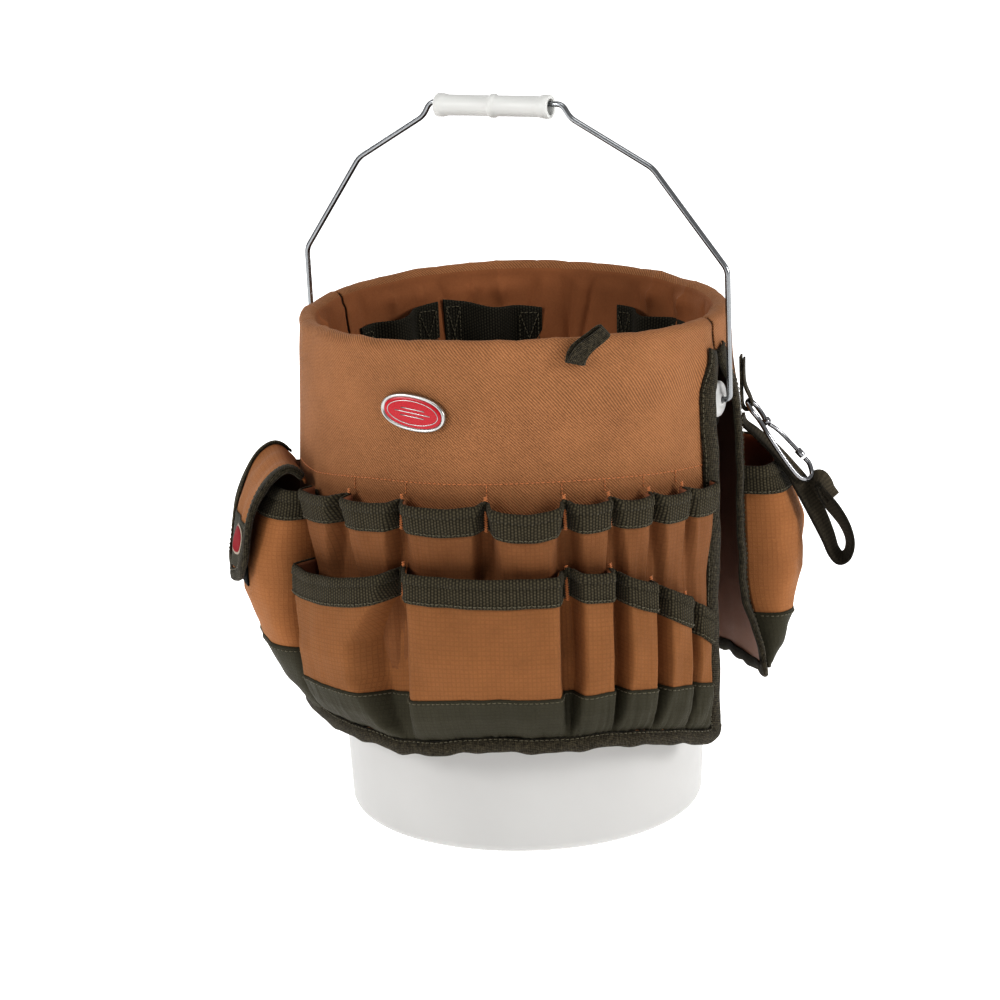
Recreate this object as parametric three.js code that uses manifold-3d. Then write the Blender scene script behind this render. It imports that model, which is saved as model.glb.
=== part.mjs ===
// A tool bucket organizer: a sewn cloth organizer with two rings of pockets, hung over the
// rim of an 18.9 litre (5 US gallon) pail with a wire bail.
// Millimetres, +Z up. The origin is the centre of the pail's base, on the floor.
// Azimuths are in degrees, 0 facing -Y (the front) and positive towards +X.
import * as THREE from "three";
import { mergeVertices } from "three/addons/utils/BufferGeometryUtils.js";
import Module from "manifold-3d";

const wasm = await Module();
wasm.setup();

// ---------------------------------------------------------------- driving dimensions
const PAIL = { height: 370, baseR: 131, topR: 148.2, lipR: 152.4, wall: 2.2, foot: 5 };
const EAR = { azimuth: 63, z: 316, radius: 13, reach: 163.5, hole: 2.7 };
const WIRE_R = 2;
const CLOTH = 1.6;
const WEBBING = { width: 20, thick: 1.8 };
const BINDING = { width: 9, inside: -2.6, outside: 1.1 };
const GAP = 0.5; // clearance between two layers of cloth that touch
const SLIT = { top: 346, half: 6 }; // the slit that the bail's ear comes through
const HEM_Z = 92; // lower edge of the outside skirts
const BOOT_Z = 136; // top of the reinforced band along the pockets' bottoms
const UPPER_Z = 270;
const UPPER_BOTTOM_Z = 150;
const LOWER_Z = 222;
const DROOP = 8; // how far a skirt's ends hang lower than its middle
const rad = THREE.MathUtils.degToRad;
const clamp = THREE.MathUtils.clamp;
const lerp = THREE.MathUtils.lerp;
const smooth = THREE.MathUtils.smoothstep;

// ---------------------------------------------------------------- materials
const cloth = (color, roughness = 0.9) => new THREE.MeshStandardMaterial({ color, roughness });
const BROWN = cloth(0x9b6a44);
const BROWN_SHADE = cloth(0x8f5f3b);
const OLIVE = cloth(0x4a4636);
const OLIVE_WEB = cloth(0x3d3a2f);
const BLACK = cloth(0x1d1d1b);
const WHITE_PLASTIC = new THREE.MeshStandardMaterial({ color: 0xe9e9e6, roughness: 0.45 });
const STEEL = new THREE.MeshStandardMaterial({ color: 0xb9bcc0, roughness: 0.28, metalness: 1 });
const RED = new THREE.MeshStandardMaterial({ color: 0xb3202c, roughness: 0.35 });

const object = new THREE.Group();

function add(name, geometry, material) {
  const mesh = new THREE.Mesh(geometry, material);
  mesh.name = name;
  object.add(mesh);
  return mesh;
}

// ---------------------------------------------------------------- frame helpers
// A point at a polar place around the pail's axis.
function polar(azimuth, radius, z) {
  const a = rad(azimuth);
  return new THREE.Vector3(radius * Math.sin(a), -radius * Math.cos(a), z);
}

// Linear interpolation in a table of [x, y] pairs sorted by falling x.
function table(rows, x) {
  if (x >= rows[0][0]) return rows[0][1];
  for (let i = 1; i < rows.length; i++) {
    const [x0, y0] = rows[i - 1];
    const [x1, y1] = rows[i];
    if (x >= x1) return lerp(y1, y0, (x - x1) / (x0 - x1));
  }
  return rows[rows.length - 1][1];
}

// The two skirts are alike, half a turn apart. Azimuths on a skirt are its own.
// hem lists how much further than DROOP the hem hangs at an azimuth.
const FRONT = {
  name: "front", turn: 0, left: -111, right: 57, flare: 0,
  hem: [[57, 20], [40, 9], [20, 4], [-10, 4], [-33, 9], [-50, 3], [-65, -3], [-111, -3]],
};
const REAR = {
  name: "rear", turn: 180, left: -111, right: 57, flare: 1,
  hem: [[57, 0], [-60, -2], [-80, -9], [-95, -14], [-111, -19]],
};
const SKIRT_R = [[366, 156], [348, 157.5], [300, 159], [270, 160], [92, 163]];

// How far a skirt's ends hang below its middle, and its hem below the rest.
function droop(side, azimuth, z) {
  const off = clamp(Math.abs(azimuth + 3) / 60, 0, 1);
  return DROOP * off * off * clamp((350 - z) / 70, 0, 1) + table(side.hem, azimuth) * smooth(200 - z, 0, 100);
}

// The rear skirt's free edge beside the holster stands away from the pail.
function flare(side, azimuth, z) {
  const out = clamp((-80 - azimuth) / 31, 0, 1) ** 1.5;
  return side.flare * out * (8 * smooth(345 - z, 0, 40) + 18 * smooth(190 - z, 0, 110));
}

// A point on a skirt: azimuth and height on the skirt, and depth out from its face.
function onSkirt(side, azimuth, z, depth) {
  const radius = table(SKIRT_R, z) + flare(side, azimuth, z) + depth;
  return polar(azimuth + side.turn, radius, z - droop(side, azimuth, z));
}

// ---------------------------------------------------------------- sheet solids
// A sheet from two grids of points, outer[i][j] and inner[i][j], the same size.
// Looking at the outer face, i runs to the right and j runs up.
function sheet(outer, inner) {
  const columns = outer.length;
  const rows = outer[0].length;
  const positions = [];
  for (const grid of [outer, inner])
    for (const column of grid) for (const p of column) positions.push(p.x, p.y, p.z);
  const id = (layer, i, j) => layer * columns * rows + i * rows + j;
  const index = [];
  const quad = (a, b, c, d) => index.push(a, b, c, a, c, d);
  for (let i = 0; i + 1 < columns; i++) {
    for (let j = 0; j + 1 < rows; j++) {
      quad(id(0, i, j), id(0, i + 1, j), id(0, i + 1, j + 1), id(0, i, j + 1));
      quad(id(1, i, j), id(1, i, j + 1), id(1, i + 1, j + 1), id(1, i + 1, j));
    }
    quad(id(1, i, 0), id(1, i + 1, 0), id(0, i + 1, 0), id(0, i, 0));
    quad(id(0, i, rows - 1), id(0, i + 1, rows - 1), id(1, i + 1, rows - 1), id(1, i, rows - 1));
  }
  for (let j = 0; j + 1 < rows; j++) {
    quad(id(1, 0, j), id(0, 0, j), id(0, 0, j + 1), id(1, 0, j + 1));
    const last = columns - 1;
    quad(id(0, last, j), id(1, last, j), id(1, last, j + 1), id(0, last, j + 1));
  }
  const geometry = new THREE.BufferGeometry();
  geometry.setAttribute("position", new THREE.Float32BufferAttribute(positions, 3));
  geometry.setIndex(index);
  return geometry;
}

// A grid of points from lists of its two parameters.
const grid = (us, vs, point) => us.map((u, i) => vs.map((v, j) => point(u, v, i, j)));
const steps = (from, to, count) =>
  Array.from({ length: count + 1 }, (_, i) => lerp(from, to, i / count));

// A round bar along a curve.
function bar(curve, radius, count, sides = 8) {
  const section = new THREE.Shape();
  for (let i = 0; i < sides; i++) {
    const a = (2 * Math.PI * (i + 0.5)) / sides;
    section[i ? "lineTo" : "moveTo"](radius * Math.cos(a), radius * Math.sin(a));
  }
  section.closePath();
  return new THREE.ExtrudeGeometry(section, { steps: count, extrudePath: curve, bevelEnabled: false });
}

// A curve of straight runs joined by arcs of the given radius.
function bentPath(points, radius) {
  const path = new THREE.CurvePath();
  let from = points[0];
  for (let i = 1; i + 1 < points.length; i++) {
    const before = points[i - 1].clone().sub(points[i]).normalize();
    const after = points[i + 1].clone().sub(points[i]).normalize();
    const enter = points[i].clone().addScaledVector(before, radius);
    const leave = points[i].clone().addScaledVector(after, radius);
    path.add(new THREE.LineCurve3(from, enter));
    path.add(new THREE.QuadraticBezierCurve3(enter, points[i], leave));
    from = leave;
  }
  path.add(new THREE.LineCurve3(from, points[points.length - 1]));
  return path;
}

// Sample points of a bent path: the ends of its lines and a few along each arc.
function bentPoints(points, radius, perBend = 3) {
  return bentPath(points, radius).curves.flatMap((c, i) => {
    if (c.isLineCurve3) return i === 0 ? [c.v1] : [];
    return c.getPoints(perBend);
  }).concat([points[points.length - 1]]);
}

// ---------------------------------------------------------------- booleans
function toSolid(geometry) {
  const bare = geometry.index ? geometry.toNonIndexed() : geometry.clone();
  bare.deleteAttribute("normal");
  bare.deleteAttribute("uv");
  const merged = mergeVertices(bare, 1e-3);
  return new wasm.Manifold(new wasm.Mesh({
    numProp: 3,
    vertProperties: new Float32Array(merged.attributes.position.array),
    triVerts: new Uint32Array(merged.index.array),
  }));
}

function toGeometry(solid) {
  const mesh = solid.getMesh();
  const geometry = new THREE.BufferGeometry();
  geometry.setAttribute("position", new THREE.BufferAttribute(new Float32Array(mesh.vertProperties), 3));
  geometry.setIndex(new THREE.BufferAttribute(new Uint32Array(mesh.triVerts), 1));
  return geometry;
}

// ---------------------------------------------------------------- the pail
// Outside radius of the pail's tapered wall.
const wallR = (z) => lerp(PAIL.baseR, PAIL.topR, clamp(z / 345, 0, 1));

function pail() {
  const { height, wall, foot, lipR, topR } = PAIL;
  const rib = (z) => [[wallR(z), z], [wallR(z) + 2.6, z + 1], [wallR(z) + 2.6, z + 3], [wallR(z), z + 4]];
  const outside = [
    [0, 0], [20, 0], [22, foot], [110, foot], [113, 0], [127, 0], [wallR(5), 5],
    ...rib(286), ...rib(338), [topR, 356], [lipR, 359], [lipR, height - 1.5], [lipR - 1.5, height],
  ];
  const inside = [[topR - wall, height], [wallR(14) - wall, 14], [wallR(0) - 8, foot + wall], [0, foot + wall]];
  const profile = [...outside, ...inside].map(([r, z]) => new THREE.Vector2(r, z));
  const shell = new THREE.LatheGeometry(profile, 36).rotateX(Math.PI / 2);
  let body = toSolid(shell);
  for (const azimuth of [EAR.azimuth, EAR.azimuth + 180]) {
    const inner = wallR(EAR.z) - 1.6;
    const boss = new THREE.CylinderGeometry(EAR.radius, EAR.radius + 1, EAR.reach - inner, 16);
    boss.translate(0, (EAR.reach + inner) / 2, 0);
    const hole = new THREE.CylinderGeometry(EAR.hole, EAR.hole, 12, 10);
    hole.translate(0, EAR.reach - 5, 0);
    const place = (g) => toSolid(g.rotateX(Math.PI).rotateZ(rad(azimuth)).translate(0, 0, EAR.z));
    body = body.add(place(boss)).subtract(place(hole));
  }
  return toGeometry(body);
}
add("bucket_shell", pail(), WHITE_PLASTIC);

// ---------------------------------------------------------------- bail and grip
// Places on the bail's plane: s along the line through both ears, z up.
const BAIL = {
  right: [[156.5, EAR.z], [169, EAR.z], [168, 409], [112, 478], [49, 511], [43, 520.5]],
  left: [[-63, 519], [-69, 508.5], [-124, 476], [-172, 406], [-170, EAR.z], [-156.5, EAR.z]],
};
const onBail = (s, z) => polar(EAR.azimuth, s, z);

const bailPoints = () => [...BAIL.right, ...BAIL.left].map(([s, z]) => onBail(s, z));

// The bail is swept section by section in its own plane, so that it doesn't twist.
function bail() {
  const across = polar(EAR.azimuth + 90, 1, 0); // square to the bail's plane
  const places = bentPoints(bailPoints(), 4.5, 2);
  const sides = 8;
  const rings = places.map((p, i) => {
    const before = places[Math.max(i - 1, 0)];
    const after = places[Math.min(i + 1, places.length - 1)];
    const along = after.clone().sub(before).normalize();
    const normal = new THREE.Vector3().crossVectors(along, across);
    return Array.from({ length: sides }, (_, k) => {
      const a = (2 * Math.PI * (k + 0.5)) / sides;
      return p.clone()
        .addScaledVector(across, WIRE_R * Math.cos(a))
        .addScaledVector(normal, WIRE_R * Math.sin(a));
    });
  });
  return ringLoft(rings);
}

// A solid through a run of rings of points, closed by a fan at each end.
function ringLoft(rings) {
  const sides = rings[0].length;
  const positions = rings.flat().flatMap((p) => [p.x, p.y, p.z]);
  const index = [];
  for (let i = 0; i + 1 < rings.length; i++)
    for (let k = 0; k < sides; k++) {
      const [a, b] = [i * sides + k, i * sides + ((k + 1) % sides)];
      index.push(a, b, b + sides, a, b + sides, a + sides);
    }
  const last = (rings.length - 1) * sides;
  for (let k = 1; k + 1 < sides; k++) {
    index.push(0, k + 1, k);
    index.push(last, last + k, last + k + 1);
  }
  const geometry = new THREE.BufferGeometry();
  geometry.setAttribute("position", new THREE.Float32BufferAttribute(positions, 3));
  geometry.setIndex(index);
  return facingOut(geometry);
}

// Turns a closed geometry's faces round if they point in.
function facingOut(geometry) {
  const p = geometry.attributes.position;
  const index = geometry.index.array;
  const [a, b, c] = [new THREE.Vector3(), new THREE.Vector3(), new THREE.Vector3()];
  let volume = 0;
  for (let i = 0; i < index.length; i += 3) {
    a.fromBufferAttribute(p, index[i]);
    b.fromBufferAttribute(p, index[i + 1]);
    c.fromBufferAttribute(p, index[i + 2]);
    volume += a.dot(b.cross(c));
  }
  if (volume < 0)
    for (let i = 0; i < index.length; i += 3) [index[i], index[i + 1]] = [index[i + 1], index[i]];
  return geometry;
}
add("bail_wire", bail(), STEEL);

// A thin tube that hangs loosely on the wire: flared ends and a ring at its middle.
const GRIP = { from: -57, to: 34, radius: 7.6, bore: 5.6, axis: [0.0163, 517.6] };
function grip() {
  const half = (GRIP.to - GRIP.from) / 2;
  const { radius: r, bore } = GRIP;
  const profile = [
    [bore, -half], [r + 0.9, -half], [r + 0.9, 6 - half], [r, 9 - half], [r, -2], [r + 1, -1], [r + 1, 1], [r, 2],
    [r, half - 9], [r + 0.9, half - 6], [r + 0.9, half], [bore, half], [bore, -half],
  ].map(([x, y]) => new THREE.Vector2(x, y));
  const tube = new THREE.LatheGeometry(profile, 16); // its axis is Y
  const middle = (GRIP.from + GRIP.to) / 2;
  const [slope, height] = GRIP.axis;
  return facingOut(mergedIndexed(tube))
    .rotateX(Math.atan(-slope))
    .rotateZ(rad(EAR.azimuth))
    .translate(...onBail(middle, height).toArray());
}

// The same geometry with shared vertices merged and only positions kept.
function mergedIndexed(geometry) {
  const bare = geometry.index ? geometry.toNonIndexed() : geometry.clone();
  bare.deleteAttribute("normal");
  bare.deleteAttribute("uv");
  return mergeVertices(bare, 1e-3);
}
add("bail_grip", grip(), WHITE_PLASTIC);

// ---------------------------------------------------------------- rim wraps
// Each half of the organizer's cloth: it hangs inside the pail, goes over the rim and
// hangs outside as the skirt that the pockets are sewn to.
const WRAP_INSIDE = [[134.9, 215], [138.9, 290], [142.6, 350], [143, 366]];
// Over the rim: the seen face's radius and height, then the hidden face's.
const WRAP_OVER = [[145.2, 372.4, 144.9, 370.7], [149.5, 374.6, 149.4, 372.2], [153.6, 373.4, 152.9, 371.6]];
const HEM_IN = 9.4; // the skirt's cloth stops this far from its bound edge
const HEM_SPARE = 0.8; // and this much further along the hem, where the two follow its sag separately

function wrap(side) {
  const edge = (2 * SLIT.half) / 2;
  const bindingAngle = (HEM_IN / 160) * (180 / Math.PI);
  const wide = [side.left - edge + 0.15, side.right + edge - 0.15];
  const narrow = [side.left + bindingAngle, side.right - bindingAngle];
  const outsideRows = [366, SLIT.top + 2, SLIT.top - 8, 300, 270, 200, BOOT_Z, HEM_Z + HEM_IN + HEM_SPARE];
  const rows = [
    ...WRAP_INSIDE.map(([r, z]) => ({ span: wide, inner: r, z })),
    ...WRAP_OVER.map(([over, z, under, underZ]) => ({ span: wide, over, z, under, underZ })),
    ...outsideRows.map((z) => ({ span: z > SLIT.top ? wide : narrow, z })),
  ];
  const columns = steps(0, 1, 18);
  // The face that is seen: the inner skirt's is towards the axis, the outer's away from it.
  const seen = (u, row) => {
    const a = lerp(row.span[0], row.span[1], u);
    if (row.inner) return polar(a + side.turn, row.inner, row.z);
    if (row.over) return polar(a + side.turn, row.over, row.z);
    return onSkirt(side, a, row.z, 0);
  };
  const hidden = (u, row) => {
    const a = lerp(row.span[0], row.span[1], u);
    if (row.inner) return polar(a + side.turn, row.inner + CLOTH, row.z);
    if (row.over) return polar(a + side.turn, row.under, row.underZ);
    return onSkirt(side, a, row.z, -CLOTH);
  };
  return facingOut(sheet(grid(columns, rows, seen), grid(columns, rows, hidden)));
}
add("front_wrap", wrap(FRONT), BROWN);
add("rear_wrap", wrap(REAR), BROWN);

// Woven tape folded over each skirt's two ends and its hem.
function binding(side) {
  const w = (BINDING.width / 160) * (180 / Math.PI);
  const top = SLIT.top - 9;
  const outerPath = [];
  const innerPath = [];
  const put = (a, z, da, dz) => {
    outerPath.push([a, z]);
    innerPath.push([a + da, z + dz]);
  };
  for (const z of [top, 300, 270, 200, BOOT_Z]) put(side.left, z, w, 0);
  for (const a of steps(0, 1, 18)) {
    const at = lerp(side.left, side.right, a);
    const inset = a === 0 ? w : a === 1 ? -w : 0;
    put(at, HEM_Z, inset, BINDING.width);
  }
  for (const z of [BOOT_Z, 200, 270, 300, top]) put(side.right, z, -w, 0);
  const faces = (depth) => outerPath.map(([a, z], i) =>
    [onSkirt(side, a, z, depth), onSkirt(side, ...innerPath[i], depth)]);
  return facingOut(sheet(faces(BINDING.outside), faces(BINDING.inside)));
}
add("front_binding", binding(FRONT), OLIVE_WEB);
add("rear_binding", binding(REAR), OLIVE_WEB);

// ---------------------------------------------------------------- pockets
// A pocket is a strip of cloth sewn down at two seams, bulging between them.
// power sets how boxy the bulge is; top may differ between its two seams.
function pocket(side, name, from, to, options) {
  return { side, name, from, to, power: 2, count: 6, inset: 0.15, ...options };
}

// Rows of heights up a pocket at one azimuth, with the share of the full depth at each.
function lowerRows(p, a) {
  const top = lerp(p.tops[0], p.tops[1], (a - p.from) / (p.to - p.from));
  const band = top - WEBBING.width;
  return [
    [HEM_Z + BINDING.width + 1, 0.16], [112, 0.5], [BOOT_Z, 0.86], [(BOOT_Z + band) / 2, 1],
    [band, 0.98], [top, 0.92],
  ];
}
function upperRows(p, a) {
  const top = lerp(p.tops[0], p.tops[1], (a - p.from) / (p.to - p.from));
  const band = top - WEBBING.width;
  return [[UPPER_BOTTOM_Z, 0.14], [205, 0.32], [band, 0.86], [top, 1]];
}

// Depth of a pocket's outside face at an azimuth, as a share of the full depth.
function bulge(p, a) {
  const from = p.from + p.inset;
  const to = p.to - p.inset;
  const u = clamp((2 * (a - from)) / (to - from) - 1, -1, 1);
  return 1 - Math.abs(u) ** p.power;
}

function pocketSamples(p) {
  return steps(p.from + p.inset, p.to - p.inset, p.count);
}

function pocketSolid(p) {
  const rowsAt = p.lower ? lowerRows : upperRows;
  const as = pocketSamples(p);
  const rowCount = rowsAt(p, as[0]).length;
  const depthAt = (a, j) => CLOTH * 0.8 + GAP + p.depth * rowsAt(p, a)[j][1] * bulge(p, a);
  const js = steps(0, rowCount - 1, rowCount - 1).map(Math.round);
  const outer = grid(as, js, (a, j) => onSkirt(p.side, a, rowsAt(p, a)[j][0], depthAt(a, j)));
  // The inside face, moved square to the outside one in plan, but never into the skirt.
  const inner = grid(as, js, (a, j, i) => {
    const before = as[Math.max(i - 1, 0)];
    const after = as[Math.min(i + 1, as.length - 1)];
    const arc = rad(after - before) * 165;
    const rise = depthAt(after, j) - depthAt(before, j);
    const length = Math.hypot(arc, rise);
    const shift = ((rise / length) * CLOTH * 180) / Math.PI / 165;
    const depth = Math.max(depthAt(a, j) - (arc / length) * CLOTH, GAP);
    return onSkirt(p.side, a + shift, rowsAt(p, a)[j][0], depth);
  });
  return facingOut(sheet(outer, inner));
}

// A strip sewn over the outside of a row of pockets, between two of their rows.
function strip(pockets, fromRow, toRow, thick, lowest) {
  const rowsAt = pockets[0].lower ? lowerRows : upperRows;
  const samples = [];
  pockets.forEach((p, k) => {
    if (k === 0) samples.push([p, p.from + p.inset]);
    pocketSamples(p).slice(1, -1).forEach((a) => samples.push([p, a]));
    samples.push([p, k + 1 < pockets.length ? p.to : p.to - p.inset]);
  });
  const js = steps(fromRow, toRow, toRow - fromRow).map(Math.round);
  const face = (extra) => samples.map(([p, a]) => js.map((j) => {
    const [z, share] = rowsAt(p, a)[j];
    const under = CLOTH * 0.8 + GAP + p.depth * share * bulge(p, a);
    return onSkirt(p.side, a, z, Math.max(under + 0.8, lowest) + extra);
  }));
  return facingOut(sheet(face(thick), face(0)));
}

const FRONT_SEAMS = [-62, -45.7, -29.2, -8, 10.5, 21.5, 32.5, 43, 53.6];
const FRONT_UPPER_DEPTH = [17, 19, 17, 21, 15, 14, 15, 14];
const frontUpper = FRONT_UPPER_DEPTH.map((depth, i) =>
  pocket(FRONT, `front_sleeve_${i + 1}`, FRONT_SEAMS[i], FRONT_SEAMS[i + 1],
    { depth, inset: 1, power: i < 4 ? 3 : 2, tops: [UPPER_Z, UPPER_Z] }));
const frontLower = [
  [-62, -29.2, 31, [216, 222], 4, 10], [-29.2, 10.5, 28, [222, 220], 4, 10],
  [10.5, 21.5, 24, [222, 218], 2, 6], [21.5, 32.5, 23, [218, 205], 2, 6],
  [32.5, 43, 22, [205, 190], 2, 6], [43, 53.6, 20, [190, 174], 2, 6],
].map(([from, to, depth, tops, power, count], i) =>
  pocket(FRONT, `front_pocket_${i + 1}`, from, to, { depth, tops, power, count, lower: true }));

const REAR_SEAMS = [-70, -47, -24, -4, 16, 35, 53.6];
const rearUpper = [18, 18, 17, 17, 16, 16].map((depth, i) =>
  pocket(REAR, `rear_sleeve_${i + 1}`, REAR_SEAMS[i], REAR_SEAMS[i + 1],
    { depth, inset: 1, power: 3, tops: [UPPER_Z, UPPER_Z] }));
const rearLower = [
  [-70, -24, 30, 4, 10], [-24, 16, 28, 4, 10], [16, 35, 26, 2, 6], [35, 53.6, 26, 2, 6],
].map(([from, to, depth, power, count], i) =>
  pocket(REAR, `rear_pocket_${i + 1}`, from, to, { depth, power, count, tops: [LOWER_Z, LOWER_Z], lower: true }));

for (const p of [...frontUpper, ...frontLower, ...rearUpper, ...rearLower])
  add(p.name, pocketSolid(p), p.lower ? BROWN_SHADE : BROWN);
for (const [side, upper, lower] of [["front", frontUpper, frontLower], ["rear", rearUpper, rearLower]]) {
  add(`${side}_upper_webbing`, strip(upper, 2, 3, WEBBING.thick, 3), OLIVE_WEB);
  add(`${side}_lower_webbing`, strip(lower, 4, 5, WEBBING.thick, 3), OLIVE_WEB);
  add(`${side}_boot_band`, strip(lower, 0, 2, 1.6, 2.6), OLIVE);
}

// ---------------------------------------------------------------- end pouches
// A deep pouch at each skirt's left end, square in plan, narrowing towards its bottom.
const POUCH_ROWS = [[103, 0.16], [118, 0.44], [150, 0.74], [185, 0.96], [215, 0.97], [245, 0.78], [266, 0.52]];
const HOLSTER_ROWS = [[103, 0.3], [118, 0.5], [150, 0.74], [185, 0.94], [225, 0.97], [248, 0.78], [268, 0.54]];
const pouchPocket = (side, name, from, to, depth) =>
  pocket(side, name, from, to, { depth, power: 6, inset: 0.3, lift: side.flare * 1.4 });
const phonePouch = pouchPocket(FRONT, "phone_pouch", -95.5, -63.2, 45);
const holster = pouchPocket(REAR, "drill_holster", -107, -71.5, 44);

// Shares of the width at which a pouch's square section is sampled.
const BOX_SAMPLES = [-1, -0.985, -0.94, -0.84, -0.6, 0, 0.6, 0.84, 0.94, 0.985, 1];
function pouchFace(p, rows, extra) {
  const middle = (p.from + p.to) / 2;
  const half = (p.to - p.from) / 2 - p.inset;
  return BOX_SAMPLES.map((u) => rows.map(([z, share]) => {
    const depth = GAP + p.lift + (p.depth * share + extra) * (1 - Math.abs(u) ** p.power) ** 0.45;
    const spread = half + (extra / 165) * (180 / Math.PI);
    return onSkirt(p.side, middle + u * spread, z, depth);
  }));
}
function pouchShell(p, rows, outside, thick) {
  return facingOut(sheet(pouchFace(p, rows, outside), pouchFace(p, rows, outside - thick)));
}
for (const [p, rows] of [[phonePouch, POUCH_ROWS], [holster, HOLSTER_ROWS]]) {
  add(p.name, pouchShell(p, rows, 0, CLOTH), BROWN);
  add(`${p.name}_boot`, pouchShell(p, rows.slice(0, 3), 2.2, 1.6), OLIVE);
  add(`${p.name}_webbing`, pouchShell(p, rows.slice(-2), 2.4, 1.8), OLIVE_WEB);
}

// ---------------------------------------------------------------- phone pouch's flap
// The flap's own frame: t to the right along the skirt, d out from the skirt, z up.
const FLAP = { azimuth: -79.4, half: 42 };
function onFlap(t, d, z) {
  const base = polar(FLAP.azimuth, 160 + d, z);
  return base.addScaledVector(polar(FLAP.azimuth + 90, 1, 0), t);
}
// The flap's side view, from its hinge over the pouch's mouth and down its front.
const FLAP_LINE = [[6.2, 267], [10.5, 271.5], [16, 273], [23.5, 269.5], [31.5, 261.5], [39.5, 249.5], [45.5, 235.5],
  [49.5, 219.5], [52, 204], [53.2, 191], [53.6, 180]];
function flapSide(line, depth) {
  return line.map(([d, z], i) => {
    const [d0, z0] = line[Math.max(i - 1, 0)];
    const [d1, z1] = line[Math.min(i + 1, line.length - 1)];
    const length = Math.hypot(d1 - d0, z1 - z0);
    return [d - ((z1 - z0) / length) * depth, z + ((d1 - d0) / length) * depth];
  });
}
// Half width of the flap at each point of its line: it rounds off at the tip.
const flapHalf = (i) => FLAP.half * [1, 1, 1, 1, 1, 1, 1, 0.99, 0.95, 0.82, 0.52][i];

function flapPiece(line, widthAt, above, thick) {
  const last = line.length - 1;
  const top = flapSide(line, above + thick);
  const under = flapSide(line, above);
  const across = [-1, -0.5, 0, 0.5, 1];
  const face = (side) => across.map((u) => steps(last, 0, last).map(Math.round)
    .map((i) => onFlap(u * widthAt(i), side[i][0], side[i][1])));
  return facingOut(sheet(face(top), face(under)));
}
add("flap_panel", flapPiece(FLAP_LINE, (i) => flapHalf(i) - 6, 0, 1.8), BROWN);

// Tape folded over the flap's two sides and round its tip.
function flapBinding() {
  const line = FLAP_LINE;
  const last = line.length - 1;
  const outline = [];
  for (let i = 1; i <= last; i++) outline.push([-flapHalf(i), i, -flapHalf(i) + 5.6, i]);
  outline.push([0, last + 0.55, 0, last + 0.1]);
  for (let i = last; i >= 1; i--) outline.push([flapHalf(i), i, flapHalf(i) - 5.6, i]);
  const at = (side, t, i) => {
    const k = Math.min(Math.floor(i), last);
    const [d, z] = side[k];
    return onFlap(t, d, z - (i - k) * 12);
  };
  const face = (depth) => {
    const side = flapSide(line, depth);
    return outline.map(([t, i, tIn, iIn]) => [at(side, t, i), at(side, tIn, iIn)]);
  };
  return facingOut(sheet(face(2.6), face(-0.8)));
}
add("flap_binding", flapBinding(), OLIVE_WEB);
add("flap_label", flapPiece(FLAP_LINE.slice(6, 10), () => 16, 2.2, 1), OLIVE);
add("flap_hook_tape", flapPiece(FLAP_LINE.slice(7, 10), () => 20, -2, 1.5), BLACK);

// The soft half of the flap's fastener, on the pouch's front.
function loopTape() {
  const rows = [188, 206, 222];
  const face = (depth) => [-20, 0, 20].map((t) => rows.map((z) => onFlap(t, depth, z - DROOP)));
  return facingOut(sheet(face(47), face(45.8)));
}
add("pouch_loop_tape", loopTape(), BLACK);

// ---------------------------------------------------------------- hammer loops inside
// Wide webbing sewn flat to the inner skirt at both ends, standing off it between them.
function hammerLoop(azimuth) {
  const skirt = (z) => table([[366, 143], [350, 142.6], [290, 138.9], [215, 134.9]], z) - 2 * GAP;
  const off = [0, 0, 3, 11, 15, 15, 11, 3, 0, 0];
  const at = [-17, -9, -7.6, -5, -2, 2, 5, 7.6, 9, 15];
  const face = (extra) => at.map((da, i) => [352, 302].map((z) =>
    polar(azimuth + da, skirt(z) - off[i] - extra, z)));
  return facingOut(sheet(face(0), face(1.8)));
}
[-138, -172, 130].forEach((azimuth, i) => add(`hammer_loop_${i + 1}`, hammerLoop(azimuth), OLIVE_WEB));

// ---------------------------------------------------------------- rim tab and badge
// A short length of narrow webbing doubled into a loop on the front of the rim.
function rimTab() {
  const line = [[156.6, 361], [157.6, 372], [157.5, 382], [160.2, 386], [163.2, 382], [162.6, 372], [160.4, 361]];
  const side = (thick) => line.map(([r, z], i) => {
    const [r0, z0] = line[Math.max(i - 1, 0)];
    const [r1, z1] = line[Math.min(i + 1, line.length - 1)];
    const length = Math.hypot(r1 - r0, z1 - z0);
    return [r + ((z1 - z0) / length) * thick, z - ((r1 - r0) / length) * thick];
  });
  const face = (profile) => profile.map(([r, z]) => [-2.6, 2.6].map((a) => polar(18.5 + a, r, z)));
  return facingOut(sheet(face(side(0)), face(side(1.4))));
}
add("rim_tab", rimTab(), OLIVE_WEB);

// An oval badge riveted through the band: a metal frame round a coloured plate.
const BADGE = { azimuth: -26.3, z: 329, across: 24, up: 12.5 };
function badgeDisc(scaleIn, scaleOut, near, far) {
  const shape = new THREE.Shape();
  shape.absellipse(0, 0, BADGE.across * scaleOut, BADGE.up * scaleOut, 0, 2 * Math.PI);
  if (scaleIn) {
    const hole = new THREE.Path();
    hole.absellipse(0, 0, BADGE.across * scaleIn, BADGE.up * scaleIn, 0, 2 * Math.PI, true);
    shape.holes.push(hole);
  }
  const disc = new THREE.ExtrudeGeometry(shape, { depth: far - near, bevelEnabled: false, curveSegments: 14 });
  disc.translate(0, 0, near).rotateX(Math.PI / 2).rotateZ(rad(BADGE.azimuth));
  return disc.translate(0, 0, BADGE.z);
}
add("badge_frame", badgeDisc(0.88, 1, 158.9, 161.6), STEEL);
add("badge_plate", badgeDisc(0, 0.86, 158.9, 160.9), RED);

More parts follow.
